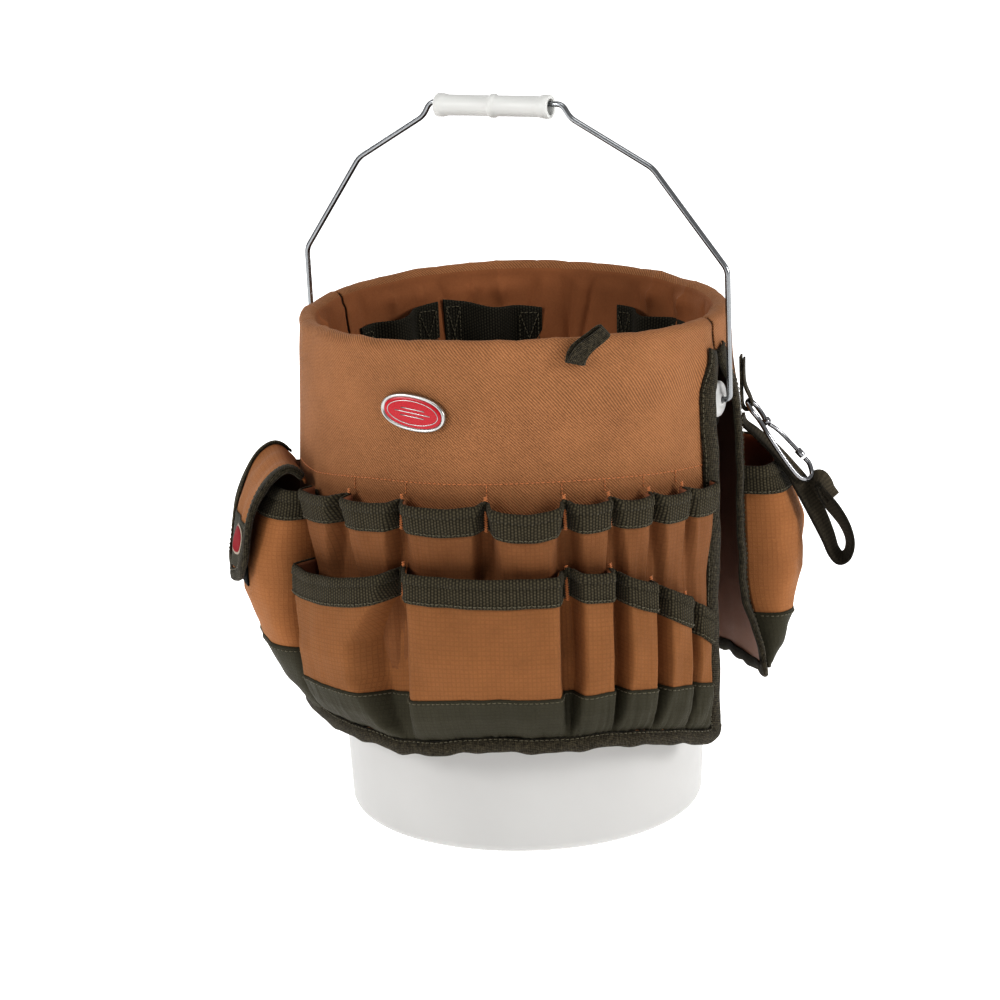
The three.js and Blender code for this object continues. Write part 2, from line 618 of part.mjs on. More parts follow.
// ---------------------------------------------------------------- tape strap and snap hook
// The strap's frame: r out from the pail's axis along its azimuth, z up, t to the right.
const STRAP = { azimuth: 79, width: 19, thick: 1.6, skirtR: 163.7 };
function onStrap(t, r, z) {
  return polar(STRAP.azimuth, r, z).addScaledVector(polar(STRAP.azimuth + 90, 1, 0), t);
}

// A flat strap along a side-view line of [r, z, tilt]. The tilt, in degrees, turns the
// strap's width about its own line, towards the front.
function strapPiece(line, thick, width) {
  const corner = (i, across, depth) => {
    const [r, z, tilt = 0] = line[i];
    const [r0, z0] = line[Math.max(i - 1, 0)];
    const [r1, z1] = line[Math.min(i + 1, line.length - 1)];
    const length = Math.hypot(r1 - r0, z1 - z0);
    const [nr, nz] = [(z1 - z0) / length, -(r1 - r0) / length];
    const [c, q] = [Math.cos(rad(tilt)), Math.sin(rad(tilt))];
    const out = depth * c - across * q;
    return onStrap(across * c + depth * q, r + nr * out, z + nz * out);
  };
  const at = line.map((_, i) => i);
  const face = (depth) => grid(at, [-width / 2, width / 2], (i, across) => corner(i, across, depth));
  return facingOut(sheet(face(0), face(thick)));
}

// A narrow tab sewn to the skirt, folded at its lower end round the snap hook's eye.
const HOOK_LOOP = [[2, 336], [2, 307], [2.3, 301.5], [4.6, 298.6], [7.8, 299.4], [8.8, 303.4], [6.8, 309],
  [4, 314], [2.9, 318], [2.9, 336]];
add("hook_loop", strapPiece(HOOK_LOOP.map(([d, z]) => [STRAP.skirtR + d, z]), 1.2, 5), OLIVE_WEB);

// The snap hook, bent from one wire: a small eye above and a long bow below.
const HOOK = { top: [169, 305.6], bottom: [216, 245.5], eyeTilt: 10, tilt: 30, wire: 1.6 };
function onHook(along, across, lift = 0) {
  const [r0, z0] = HOOK.top;
  const [r1, z1] = HOOK.bottom;
  const length = Math.hypot(r1 - r0, z1 - z0);
  const [er, ez] = [(r1 - r0) / length, (z1 - z0) / length];
  const tilt = rad(lerp(HOOK.eyeTilt, HOOK.tilt, smooth(along, 20, 70)));
  const out = across * Math.sin(tilt) + lift * Math.cos(tilt);
  const t = across * Math.cos(tilt) - lift * Math.sin(tilt);
  return onStrap(t, r0 + er * along - ez * out, z0 + ez * along + er * out);
}
function snapHook() {
  const line = [
    [20, 3.4], [15, 5.4], [8, 6], [2.4, 3.6], [2.4, -3.6], [8, -6], [15, -5.8], [22, -7.4], [30, -9.6],
    [52, -9.6], [66, -8.2], [72.5, -3], [72.5, 4], [66, 9], [61, 9.4],
  ].map(([along, across]) => onHook(along, across));
  return bar(new THREE.CatmullRomCurve3(line, false, "centripetal"), HOOK.wire, 34, 6);
}
add("snap_hook", facingOut(mergedIndexed(snapHook())), STEEL);

// Its sprung gate closes the bow's open side.
function snapGate() {
  const line = [[24.5, 3.6], [30, 7.4], [38, 9.4], [57, 9.4]].map(([along, across]) => onHook(along, across));
  return bar(new THREE.CatmullRomCurve3(line, false, "centripetal"), 1.4, 8, 6);
}
add("snap_gate", facingOut(mergedIndexed(snapGate())), STEEL);

// The long strap: sewn to the skirt below the tab, it runs down behind the hook, hangs in
// a bight and comes back up to the hook's lower end.
const STRAP_LINE = [
  [165.4, 297, 0], [166, 290, 0], [175, 282, 5], [188, 269.5, 12], [200.5, 254.5, 20], [210.5, 239.5, 34],
  [220, 221, 36], [227, 205, 30], [231, 194, 26], [236, 188.5, 24], [241.5, 192, 26], [243, 202, 30],
  [239, 214, 36], [231, 226, 40], [222.5, 236, 40],
];
add("tape_strap", strapPiece(STRAP_LINE, STRAP.thick, STRAP.width), OLIVE_WEB);

export default object;
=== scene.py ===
import math
import random

import bpy
import numpy as np
from mathutils import Matrix, Vector


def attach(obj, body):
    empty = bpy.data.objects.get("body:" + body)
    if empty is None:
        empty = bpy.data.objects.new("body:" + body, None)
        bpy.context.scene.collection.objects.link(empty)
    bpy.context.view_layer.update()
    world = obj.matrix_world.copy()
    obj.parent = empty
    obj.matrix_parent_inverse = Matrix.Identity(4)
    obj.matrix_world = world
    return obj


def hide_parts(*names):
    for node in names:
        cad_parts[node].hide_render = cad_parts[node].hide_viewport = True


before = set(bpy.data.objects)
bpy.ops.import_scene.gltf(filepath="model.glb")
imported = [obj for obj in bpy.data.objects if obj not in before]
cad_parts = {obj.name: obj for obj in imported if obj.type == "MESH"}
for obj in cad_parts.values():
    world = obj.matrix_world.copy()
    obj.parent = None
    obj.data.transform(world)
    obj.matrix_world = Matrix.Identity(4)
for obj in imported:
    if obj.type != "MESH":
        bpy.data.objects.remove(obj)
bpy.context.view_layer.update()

MM = 0.001
TAU = math.tau
UP = Vector((0, 0, 1))
rng = random.Random(7)


# ------------------------------------------------------------------ materials
def srgb(r, g, b):
    """A colour given in 0 to 255 sRGB, as linear RGBA."""
    def one(c):
        c /= 255
        return c / 12.92 if c <= 0.04045 else ((c + 0.055) / 1.055) ** 2.4
    return (one(r), one(g), one(b), 1.0)


def scaled(colour, k):
    return tuple(c * k for c in colour[:3]) + (1.0,)


SOCKETS = {"rough": "Roughness", "metallic": "Metallic", "specular": "Specular IOR Level",
           "sheen": "Sheen Weight", "sheen_rough": "Sheen Roughness", "subsurface": "Subsurface Weight"}


class Nodes:
    """A short way to write a material's node tree."""

    def __init__(self, name, **values):
        self.mat = bpy.data.materials.new(name)
        self.mat.use_nodes = True
        self.tree = self.mat.node_tree
        self.bsdf = self.tree.nodes["Principled BSDF"]
        for key, value in values.items():
            self.bsdf.inputs[SOCKETS[key]].default_value = value

    def node(self, kind):
        return self.tree.nodes.new("ShaderNode" + kind)

    def plug(self, value, socket):
        """Set a socket to a plain value, or link an output to it."""
        if isinstance(value, (int, float, tuple)):
            socket.default_value = value
        else:
            self.tree.links.new(value, socket)

    def math(self, operation, *values):
        n = self.node("Math")
        n.operation = operation
        for value, socket in zip(values, n.inputs):
            self.plug(value, socket)
        return n.outputs[0]

    def total(self, *terms):
        """The sum of (value, weight) terms."""
        out = 0.0
        for value, weight in terms:
            out = self.math("MULTIPLY_ADD", value, weight, out)
        return out

    def uv(self):
        """The cloth's own coordinates u and v, in millimetres."""
        place, split = self.node("UVMap"), self.node("SeparateXYZ")
        place.uv_map = "mm"
        self.plug(place.outputs[0], split.inputs[0])
        return split.outputs[0], split.outputs[1]

    def noise(self, scale, detail, rough):
        n = self.node("TexNoise")
        self.plug(scale, n.inputs["Scale"])
        self.plug(detail, n.inputs["Detail"])
        self.plug(rough, n.inputs["Roughness"])
        self.plug(self.node("TexCoord").outputs["Object"], n.inputs["Vector"])
        return n.outputs["Fac"]

    def wave(self, value, pitch):
        return self.math("SINE", self.math("MULTIPLY", value, TAU / pitch))

    def shades(self, factor, colour, *stops):
        """The colour made darker or lighter along a factor: stops are (place, strength)."""
        n = self.node("ValToRGB")
        elements = n.color_ramp.elements
        while len(elements) < len(stops):
            elements.new(0.5)
        for e, (place, strength) in zip(elements, stops):
            e.position = place
            e.color = scaled(colour, strength)
        self.plug(factor, n.inputs[0])
        return n.outputs[0]

    def mix(self, factor, a, b):
        n = self.node("Mix")
        n.data_type = "RGBA"
        for value, k in ((factor, 0), (a, 6), (b, 7)):
            self.plug(value, n.inputs[k])
        return n.outputs[2]

    def finish(self, colour, height, distance, strength, rough=None):
        """Plug in the colour, a bump (height, with its distance in millimetres) and the roughness."""
        bump = self.node("Bump")
        self.plug(height, bump.inputs["Height"])
        self.plug(distance * MM, bump.inputs["Distance"])
        self.plug(strength, bump.inputs["Strength"])
        self.plug(colour, self.bsdf.inputs["Base Color"])
        self.plug(bump.outputs[0], self.bsdf.inputs["Normal"])
        if rough is not None:
            self.plug(rough, self.bsdf.inputs["Roughness"])
        return self.mat


def twill_cloth(name, colour, pitch):
    """Heavy woven polyester: fine diagonal ribs, mottled a little, with a soft sheen, and painted shade in
    the ribs' valleys.
    """
    m = Nodes(name, rough=0.8, sheen=0.04, sheen_rough=0.4, specular=0.2)
    u, v = m.uv()
    ribs = m.wave(m.math("ADD", u, v), pitch)
    threads = m.wave(m.math("SUBTRACT", u, v), pitch * 0.7)
    height = m.total((ribs, 0.55), (m.math("MULTIPLY", ribs, threads), 0.45))
    # Painted shade: the colour follows the ribs' height and darkens in their valleys; the two noises are the
    # cloth's own mottle.
    shade = m.total((height, 0.36), (m.noise(22, 5, 0.65), 0.4), (m.noise(700, 2, 0.6), 0.4))
    return m.finish(m.shades(shade, colour, (0.05, 0.45), (0.42, 1), (0.8, 1.5)), height, 0.3, 0.8)


PLAIN = 400  # a grid too wide to show


def ripstop_cloth(name, colour, grid=3.1, rough=0.75, specular=0.22):
    """Plain woven cloth with the faint square grid of heavier threads, coated on the inside."""
    m = Nodes(name, rough=rough, sheen=0.04, sheen_rough=0.4, specular=specular)
    u, v = m.uv()
    bars = [m.math("POWER", m.math("ABSOLUTE", m.wave(axis, grid * 2)), 10.0) for axis in (u, v)]
    lines = m.math("MAXIMUM", *bars)
    weave = m.math("MULTIPLY", m.wave(u, 0.8), m.wave(v, 0.8))
    shade = m.total((m.noise(24, 4, 0.6), 0.55), (m.noise(700, 2, 0.6), 0.3), (weave, 0.06))
    paint = m.shades(shade, colour, (0.12, 0.68), (0.42, 1), (0.74, 1.28))
    paint = m.mix(m.math("MULTIPLY", lines, 0.45), paint, scaled(colour, 0.8))
    return m.finish(paint, m.total((weave, 0.5), (lines, 0.8)), 0.2, 0.7)


def webbing_cloth(name, colour, rib, pick):
    """Woven webbing: columns of short slanting picks, each column the other way, with painted shade between
    the picks and painted highlights on their crests.
    """
    m = Nodes(name, rough=0.85, sheen=0.06, sheen_rough=0.4, specular=0.2)
    u, v = m.uv()
    column = m.wave(u, rib)
    picks = m.wave(m.total((m.math("SIGN", column), pick * 0.25), (v, 1)), pick)
    edge = m.math("POWER", m.math("ABSOLUTE", column), 0.6)
    height = m.math("MULTIPLY", m.total((picks, 0.2), (1.0, 0.8)), edge)
    # Painted shade and highlight: the colour follows the picks' height, very dark between them and much
    # lighter on their crests; the noise is the webbing's own fuzz.
    shade = m.total((height, 0.62), (m.noise(800, 3, 0.7), 0.36))
    return m.finish(m.shades(shade, colour, (0.15, 0.12), (0.55, 1), (0.95, 2.6)), height, 0.6, 1.0)


def tape_cloth(name, colour):
    """Soft binding tape: fine twill under a heathered nap."""
    m = Nodes(name, rough=0.9, sheen=0.12, sheen_rough=0.5, specular=0.15)
    u, v = m.uv()
    ribs = m.math("MULTIPLY", m.wave(m.math("ADD", u, v), 2.2), m.wave(m.math("SUBTRACT", u, v), 2.6))
    nap = m.noise(520, 4, 0.75)
    paint = m.shades(m.total((ribs, 0.12), (nap, 1)), colour, (0.3, 0.25), (0.5, 1), (0.72, 2.3))
    return m.finish(paint, m.total((ribs, 0.4), (nap, 1)), 0.5, 1.0)


def thread(name, colour):
    m = Nodes(name, rough=0.6, sheen=0.3, specular=0.4)
    fuzz = m.noise(1500, 2, 0.6)
    return m.finish(m.shades(fuzz, colour, (0.3, 0.75), (0.7, 1.15)), fuzz, 0.1, 0.6)


def plastic(name, colour, rough=0.42, subsurface=0.0):
    m = Nodes(name, rough=rough, specular=0.5, subsurface=subsurface)
    if subsurface:
        m.bsdf.inputs["Subsurface Radius"].default_value = (1.0, 0.95, 0.9)
        m.bsdf.inputs["Subsurface Scale"].default_value = 4 * MM
    paint = m.shades(m.noise(9, 4, 0.6), colour, (0.3, 0.96), (0.7, 1))
    fine = m.noise(60, 5, 0.65)
    return m.finish(paint, fine, 0.12, 0.35, m.total((fine, 0.18), (1.0, rough - 0.09)))


def metal(name, colour, rough):
    m = Nodes(name, rough=rough, metallic=1.0)
    fine = m.noise(260, 4, 0.6)
    paint = m.shades(m.noise(30, 3, 0.6), colour, (0.3, 0.82), (0.65, 1))
    return m.finish(paint, fine, 0.05, 0.4, m.total((fine, 0.22), (1.0, rough - 0.08)))


BROWN = twill_cloth("brown_twill", srgb(153, 110, 77), 2.3)
BROWN_IN = ripstop_cloth("brown_inside", srgb(146, 98, 65), PLAIN)
BACKING = ripstop_cloth("dark_backing", srgb(148, 104, 82), PLAIN, 0.5, 0.3)
POCKET = ripstop_cloth("brown_ripstop", srgb(137, 95, 60))
PANEL = ripstop_cloth("brown_ripstop_panel", srgb(154, 107, 69))
SLEEVE = ripstop_cloth("brown_ripstop_upper", srgb(128, 88, 57))
OLIVE = ripstop_cloth("olive_ripstop", srgb(62, 59, 46), rough=0.65)
WEB = webbing_cloth("olive_webbing", srgb(62, 57, 45), 4.6, 2.3)
WEB_WIDE = webbing_cloth("olive_webbing_wide", srgb(46, 44, 36), 4.4, 2.4)
TAPE = tape_cloth("olive_binding", srgb(58, 53, 42))
STRAP = webbing_cloth("brown_strap", srgb(92, 84, 70), PLAIN, 2.6)
ORANGE = thread("orange_thread", srgb(192, 124, 76))
OLIVE_THREAD = thread("olive_thread", srgb(92, 86, 66))
BLACK_TAPE = ripstop_cloth("black_tape", srgb(30, 30, 29), 1.6, 0.9)
ENAMEL_CLOTH = ripstop_cloth("red_patch", srgb(140, 22, 34), PLAIN)
RING_CLOTH = ripstop_cloth("pale_patch_ring", srgb(176, 164, 150), PLAIN)
HDPE = plastic("white_pail", srgb(186, 185, 183), 0.4, 0.1)
GRIP_WHITE = plastic("white_grip", srgb(208, 208, 205), 0.45)
ENAMEL = plastic("red_enamel", srgb(178, 24, 40), 0.25)
WIRE = metal("plated_wire", srgb(155, 157, 159), 0.22)
NICKEL = metal("nickel", srgb(152, 152, 154), 0.2)
BADGE_METAL = metal("badge_metal", srgb(190, 190, 188), 0.3)


# ------------------------------------------------------------------ mesh building
def make_mesh(name, points, faces, material, uvs=None):
    mesh = bpy.data.meshes.new(name)
    mesh.from_pydata([tuple(p) for p in points], [], [tuple(f) for f in faces])
    mesh.materials.append(material)
    if uvs is not None:
        layer = mesh.uv_layers.new(name="mm")
        corner = np.empty(len(mesh.loops), dtype=np.int32)
        mesh.loops.foreach_get("vertex_index", corner)
        layer.data.foreach_set("uv", np.asarray(uvs, dtype=np.float32)[corner].ravel())
    mesh.polygons.foreach_set("use_smooth", np.ones(len(mesh.polygons), dtype=bool))
    obj = bpy.data.objects.new(name, mesh)
    bpy.context.scene.collection.objects.link(obj)
    return obj


def dress(obj, slot, *nodes):
    """Hide the CAD nodes that a piece stands for. The piece and its material slot name are not used."""
    if nodes:
        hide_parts(*nodes)


def grid_faces(nu, nv, wrap=False, wrap_up=False):
    """Faces of a grid of points, nu across and nv up, joined round either way if asked."""
    faces = []
    for i in range(nu if wrap else nu - 1):
        k = (i + 1) % nu
        for j in range(nv if wrap_up else nv - 1):
            m = (j + 1) % nv
            faces.append((i * nv + j, k * nv + j, k * nv + m, i * nv + m))
    return faces


def tube_faces(rings, sides, closed=False):
    """Faces of a tube of rings, capped at both ends unless it is closed on itself."""
    faces = [(a, d, c, b) for a, b, c, d in grid_faces(rings, sides, closed, True)]
    if not closed:
        faces.append(tuple(range(sides))[::-1])
        faces.append(tuple((rings - 1) * sides + k for k in range(sides)))
    return faces


def arc(points):
    """Lengths along a line of points, from 0."""
    steps = np.diff(np.asarray(points, float), axis=0)
    return np.concatenate([[0], np.cumsum(np.linalg.norm(steps, axis=1))])


def lengths_uv(points):
    """Cloth coordinates of a grid, in millimetres: arc lengths along its two directions."""
    nu, nv = points.shape[:2]
    across = np.linalg.norm(np.diff(points, axis=0), axis=2).mean(axis=1)
    up = np.linalg.norm(np.diff(points, axis=1), axis=2).mean(axis=0)
    u = np.concatenate([[0], np.cumsum(across)]) / MM
    v = np.concatenate([[0], np.cumsum(up)]) / MM
    return np.stack([np.repeat(u[:, None], nv, 1), np.repeat(v[None, :], nu, 0)], axis=2)


def tape_uv(run, fold):
    """Coordinates of a folded tape: run along it, and its fold's own length across."""
    u, v = np.meshgrid(run, arc([f[:2] for f in fold]), indexing="ij")
    return np.stack([u, v], axis=2)


def cloth(name, points, material, thick, body="carrier", uvs=None, offset=-1.0, back=None):
    """A sheet of cloth from a grid of points [across][up], seen from outside."""
    nu, nv = points.shape[:2]
    uvs = lengths_uv(points) if uvs is None else uvs
    obj = make_mesh(name, points.reshape(-1, 3), grid_faces(nu, nv), material, uvs.reshape(-1, 2))
    solid = obj.modifiers.new("thickness", "SOLIDIFY")
    solid.thickness = thick * MM
    solid.offset = offset
    solid.use_quality_normals = True
    if back:
        obj.data.materials.append(back)
        solid.material_offset = 1
    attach(obj, body)
    return obj


def normals_of(points):
    """Outward unit normals of a grid of points [across][up]."""
    n = np.cross(np.gradient(points, axis=0), np.gradient(points, axis=1))
    return n / np.maximum(np.linalg.norm(n, axis=2, keepdims=True), 1e-9)


def lathe(name, profile, material, centre, axis, body, segments, closed=True):
    """A solid of revolution: profile is [(radius, along)] in millimetres, about an axis through centre."""
    axis = Vector(axis).normalized()
    side = axis.orthogonal().normalized()
    other = axis.cross(side)
    points = []
    for k in range(segments):
        d = side * math.cos(TAU * k / segments) + other * math.sin(TAU * k / segments)
        points += [Vector(centre) + (d * r + axis * h) * MM for r, h in profile]
    u, v = np.meshgrid(np.linspace(0, 100, segments), np.arange(len(profile)) * 3.0, indexing="ij")
    faces = grid_faces(segments, len(profile), True, closed)
    obj = make_mesh(name, points, faces, material, np.stack([u, v], 2).reshape(-1, 2))
    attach(obj, body)
    return obj


def tangents_of(path):
    last = len(path) - 1
    return [(path[min(i + 1, last)] - path[max(i - 1, 0)]).normalized() for i in range(len(path))]


def rod(name, path, radius, material, body, sides=16, closed=False):
    """A round bar along a path in metres. Its section is carried along without twist."""
    tangents = tangents_of(path)
    normal = tangents[0].orthogonal().normalized()
    points = []
    for p, t in zip(path, tangents):
        normal = (normal - t * normal.dot(t)).normalized()
        other = t.cross(normal)
        points += [p + (normal * math.cos(TAU * k / sides) + other * math.sin(TAU * k / sides)) * radius * MM
                   for k in range(sides)]
    uvs = [(run / MM, TAU * radius * k / sides) for run in arc(path) for k in range(sides)]
    obj = make_mesh(name, points, tube_faces(len(path), sides, closed), material, uvs)
    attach(obj, body)
    return obj


def smooth_path(points, count):
    """A Catmull-Rom curve through points, count steps to each span."""
    p = [Vector(q) for q in points]
    p = [p[0] * 2 - p[1]] + p + [p[-1] * 2 - p[-2]]
    out = []
    for a, b, c, d in zip(p, p[1:], p[2:], p[3:]):
        for k in range(count):
            t = k / count
            out.append(0.5 * ((2 * b) + (c - a) * t + (2 * a - 5 * b + 4 * c - d) * t * t
                              + (3 * b - a - 3 * c + d) * t ** 3))
    out.append(p[-2])
    return out


def rounded_path(points, radius, count):
    """Straight runs joined by bends."""
    out = [points[0]]
    for before, p, after in zip(points, points[1:], points[2:]):
        a = p + (before - p).normalized() * radius
        b = p + (after - p).normalized() * radius
        for k in range(count + 1):
            t = k / count
            out.append(a * (1 - t) ** 2 + p * 2 * t * (1 - t) + b * t * t)
    out.append(points[-1])
    return out


THREAD_SIDES, THREAD_RINGS = 6, 5
THREAD_FACES = tube_faces(THREAD_RINGS, THREAD_SIDES)


class Stitches:
    """Many short lengths of thread, made as one mesh."""

    def __init__(self, name, material, body="carrier"):
        self.name, self.material, self.body = name, material, body
        self.points, self.faces, self.uvs = [], [], []

    def stitch(self, a, b, out, lift=0.25, radius=0.38):
        """One stitch from a to b, arched off the cloth along out."""
        out = out.normalized()
        r = radius * MM
        if (b - a).length < 1e-7:
            return
        side = (b - a).normalized().cross(out).normalized()
        base = len(self.points)
        for i in range(THREAD_RINGS):
            t = i / (THREAD_RINGS - 1)
            end = i in (0, THREAD_RINGS - 1)
            size = r * (0.45 if end else 1.0)
            rise = lift * MM * (1 - (2 * t - 1) ** 2) - (0.4 * r if end else 0)
            centre = a.lerp(b, t) + out * rise
            for k in range(THREAD_SIDES):
                c, s = math.cos(TAU * k / THREAD_SIDES), math.sin(TAU * k / THREAD_SIDES)
                self.points.append(tuple(centre + side * (c * size) + out * (s * size)))
                self.uvs.append((t * 3, k * 0.3))
        self.faces += [tuple(base + k for k in face) for face in THREAD_FACES]

    def line(self, path, outs, length=2.6, gap=0.9):
        """Running stitches along a path of points, with the outward direction at each."""
        path = [Vector(p) for p in path]
        outs = [Vector(o) for o in outs]
        runs = arc(path) / MM

        def place(s):
            i = min(max(int(np.searchsorted(runs, s)) - 1, 0), len(path) - 2)
            t = (s - runs[i]) / max(runs[i + 1] - runs[i], 1e-9)
            return path[i].lerp(path[i + 1], t), outs[i].lerp(outs[i + 1], t)

        at = 0.4
        while at + length < runs[-1]:
            a, n = place(at)
            b, _ = place(at + length)
            wobble = UP * rng.uniform(-0.12, 0.12) * MM
            self.stitch(a + wobble, b - wobble, n)
            at += length + gap

    def tack(self, bottom, top, across, out, turns, width):
        """A bar-tack: a dense zigzag of thread from bottom to top."""
        for i in range(turns):
            s = across * (width * MM / 2) * (1 if i % 2 else -1)
            p = bottom.lerp(top, i / turns) - s
            self.stitch(p, bottom.lerp(top, (i + 0.8) / turns) + s, out, 0.35, 0.42)

    def make(self):
        obj = make_mesh(self.name, self.points, self.faces, self.material, self.uvs)
        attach(obj, self.body)
        return obj


# ------------------------------------------------------------------ the organizer's shape
SKIRT_Z = [92, 270, 300, 348, 366]
SKIRT_R = [163, 160, 159, 157.5, 156]
SIDES = {"front": {"turn": 0, "flare": 0, "seed": 1, "loops": ()},
         "rear": {"turn": 180, "flare": 1, "seed": 5, "loops": (42, 8, -50)}}
LEFT, RIGHT = -111, 57
HEM_Z, BOOT_Z = 92, 136
POCKET_FOOT = HEM_Z + 11
SKIRT_MEAN_R = 160
SLIT_REACH = 5.3
RIM_Z = 364


def smoothstep(x, lo, hi):
    t = np.clip((x - lo) / np.maximum(hi - lo, 1e-6), 0, 1)
    return t * t * (3 - 2 * t)


def ripples(u, v, seed, du, dv, count=7):
    """A smooth wandering surface between about -1 and 1, from seeded waves."""
    r = random.Random(seed)
    total = 0 * u + 0 * v
    for _ in range(count):
        fu = r.uniform(0.4, 1.6) / du * r.choice((-1, 1))
        fv = r.uniform(0.3, 1.3) / dv
        total = total + np.sin(TAU * (fu * u + fv * v) + r.uniform(0, TAU)) * r.uniform(0.5, 1)
    return total / (0.62 * count)


# How much further the hem hangs than the rest, as (azimuth, drop).
HEM_SAG = {"front": [(-111, -3), (-65, -3), (-50, 3), (-33, 9), (-10, 4), (20, 4), (40, 9), (57, 20)],
           "rear": [(-111, -19), (-95, -14), (-80, -9), (-60, -2), (57, 0)]}


def droop(side, a, z):
    """How far the cloth hangs below its nominal height: more towards the ends, and a wavy hem."""
    off = np.clip(np.abs(a + 3) / 60, 0, 1)
    hem = np.interp(a, *zip(*HEM_SAG[side])) + 0.8 * np.sin(a / 5.3) + 0.3 * np.sin(a / 1.9 + 1)
    return 8 * off * off * np.clip((350 - z) / 70, 0, 1) + hem * smoothstep(200 - z, 0, 100)


def flare(side, a, z):
    """How far a skirt's ends stand off: the rear's beside the holster, the front's at its right edge."""
    out = np.clip((-80 - a) / 31, 0, 1) ** 1.5
    rear = SIDES[side]["flare"] * out * (8 * smoothstep(345 - z, 0, 40) + 18 * smoothstep(190 - z, 0, 110))
    edge = np.clip((a - 52.5) / 4.5, 0, 1) ** 1.2
    return rear + edge * (3.2 + 2.6 * smoothstep(z, 140, 280)) * (1 - smoothstep(z, 330, 360))


def slit(z):
    """How far the skirts' ends reach past their edges, in degrees: they close up under the rim."""
    return SLIT_REACH * smoothstep(z, 322, 356)


def spread(side, a, z):
    """The front skirt's right edge runs on a little towards the bail, in degrees."""
    run = np.clip((a - 48) / 9, 0, 1) ** 1.5 * (1 - smoothstep(z, 316, 350)) * (1 - SIDES[side]["flare"])
    return run * (0.6 + 1.2 * smoothstep(z, 150, 260))


def slack(side, a, z):
    """The skirt cloth's own gentle waves, in millimetres."""
    seed = SIDES[side]["seed"]
    soft = ripples(a, z, seed, 46, 190) * 0.9
    rim = ripples(a, z, seed + 20, 15, 90, 9) * smoothstep(z, 300, 372)
    return (soft + rim) * smoothstep(z, 150, 260)


def creases(a, z, side):
    """Sharp folds hanging from the rim into the pail, each leaning its own way."""
    r = random.Random(47 + SIDES[side]["seed"])
    count, longest = 17, 110
    total = 0 * a + 0 * z
    for k in range(count):
        centre = LEFT + (k + r.uniform(0.15, 0.85)) * (RIGHT - LEFT) / count
        slope, width = r.uniform(-0.13, 0.13), r.uniform(0.9, 2.6)
        length = longest * r.uniform(0.45, 1.0)
        size = r.uniform(0.45, 1.0) * r.choice((-1, 1, 1))
        fade = 1 - smoothstep(RIM_Z - z, length * 0.35, length)
        off = a - centre - slope * (RIM_Z - z)
        total = total + size * np.exp(-np.abs(off) / width) * fade
    return total


def polar(azimuth, radius, z):
    t = np.radians(azimuth)
    return np.stack([radius * np.sin(t), -radius * np.cos(t), z + 0 * t], axis=-1) * MM


def place(azimuth, aside, out, z):
    """A point seen from an azimuth: to the right, out from the pail's axis, and up."""
    a = math.radians(azimuth)
    return Vector((out * math.sin(a) + aside * math.cos(a), -out * math.cos(a) + aside * math.sin(a), z)) * MM


def directions(azimuth):
    """Outward and to the right, as unit vectors."""
    return place(azimuth, 0, 1, 0) / MM, place(azimuth, 1, 0, 0) / MM


def skirt(side, a, z, d):
    """Points on a skirt: azimuth, height, and depth out from its face."""
    a, z, d = np.broadcast_arrays(np.asarray(a, float), np.asarray(z, float), np.asarray(d, float))
    r = np.interp(z, SKIRT_Z, SKIRT_R) + flare(side, a, z) + d + slack(side, a, z)
    return polar(a + SIDES[side]["turn"] + spread(side, a, z), r, z - droop(side, a, z))


# ------------------------------------------------------------------ pail, bail and grip
BASE_R, WALL_TOP_R, WALL_TOP_Z = 131, 148.2, 345
BAIL_AZ, EAR_Z = 63, 316
RIB_Z = (286, 338)


def wall_r(z):
    return BASE_R + (WALL_TOP_R - BASE_R) * min(max(z / WALL_TOP_Z, 0), 1)


def rib(z):
    """A stacking rib's section: (further out than the wall at z, height above z)."""
    bumps = [(0.8, 0.2), (2.3, 1), (2.6, 1.8), (2.6, 2.6), (2.2, 3.4), (0.8, 4)]
    return ([(wall_r(z - 0.6), z - 0.6)] + [(wall_r(z) + out, z + up) for out, up in bumps]
            + [(wall_r(z + 5), z + 5)])


def make_pail():
    """A moulded pail: tapered wall, two stacking ribs, a rolled lip and a foot ring."""
    out = [(0.01, 0), (19, 0), (20, 0.6), (22, 5), (110, 5), (112.4, 4.2), (113, 0.8), (114, 0), (125, 0),
           (127.6, 0.7), (129.8, 2.6)] + [(wall_r(z), z) for z in (6, 60, 140, 220)]
    out += rib(RIB_Z[0]) + rib(RIB_Z[1])
    out += [(148.2, 355.5), (149, 357.6), (151.6, 358.6), (152.4, 360), (152.4, 367.5), (151.9, 369.2),
            (150.6, 370), (147.4, 370), (146.2, 369.3), (146, 368), (145.9, 340), (wall_r(200) - 2.2, 200),
            (wall_r(20) - 2.4, 20), (wall_r(10) - 4, 11), (wall_r(7) - 9, 7.6), (wall_r(7) - 14, 7.2),
            (0.01, 7.2)]
    pail = lathe("pail", out, HDPE, (0, 0, 0), UP, "carrier", 192, closed=False)
    dress(pail, "white_plastic", "bucket_shell")
    inner = wall_r(EAR_Z) - 1.0
    boss = [(2.6, 150), (2.6, 163.2), (4.4, 163.5), (5.2, 162.2), (9.6, 161.6), (12.2, 161.2), (13, 160),
            (13.4, inner + 3), (15.5, inner + 0.8), (16.2, inner)]
    for k, azimuth in enumerate((BAIL_AZ, BAIL_AZ + 180)):
        axis, _ = directions(azimuth)
        ear = lathe("pail_ear_%d" % (k + 1), boss, HDPE, UP * EAR_Z * MM, axis, "carrier", 48, closed=False)
        dress(ear, "white_plastic")


# The bail's centre line as (out along its ears' axis, height).
BAIL = [(156.5, 316), (169, 316), (168, 409), (112, 478), (49, 511), (43, 520.5), (-63, 519), (-69, 508.5),
        (-124, 476), (-172, 406), (-170, 316), (-156.5, 316)]
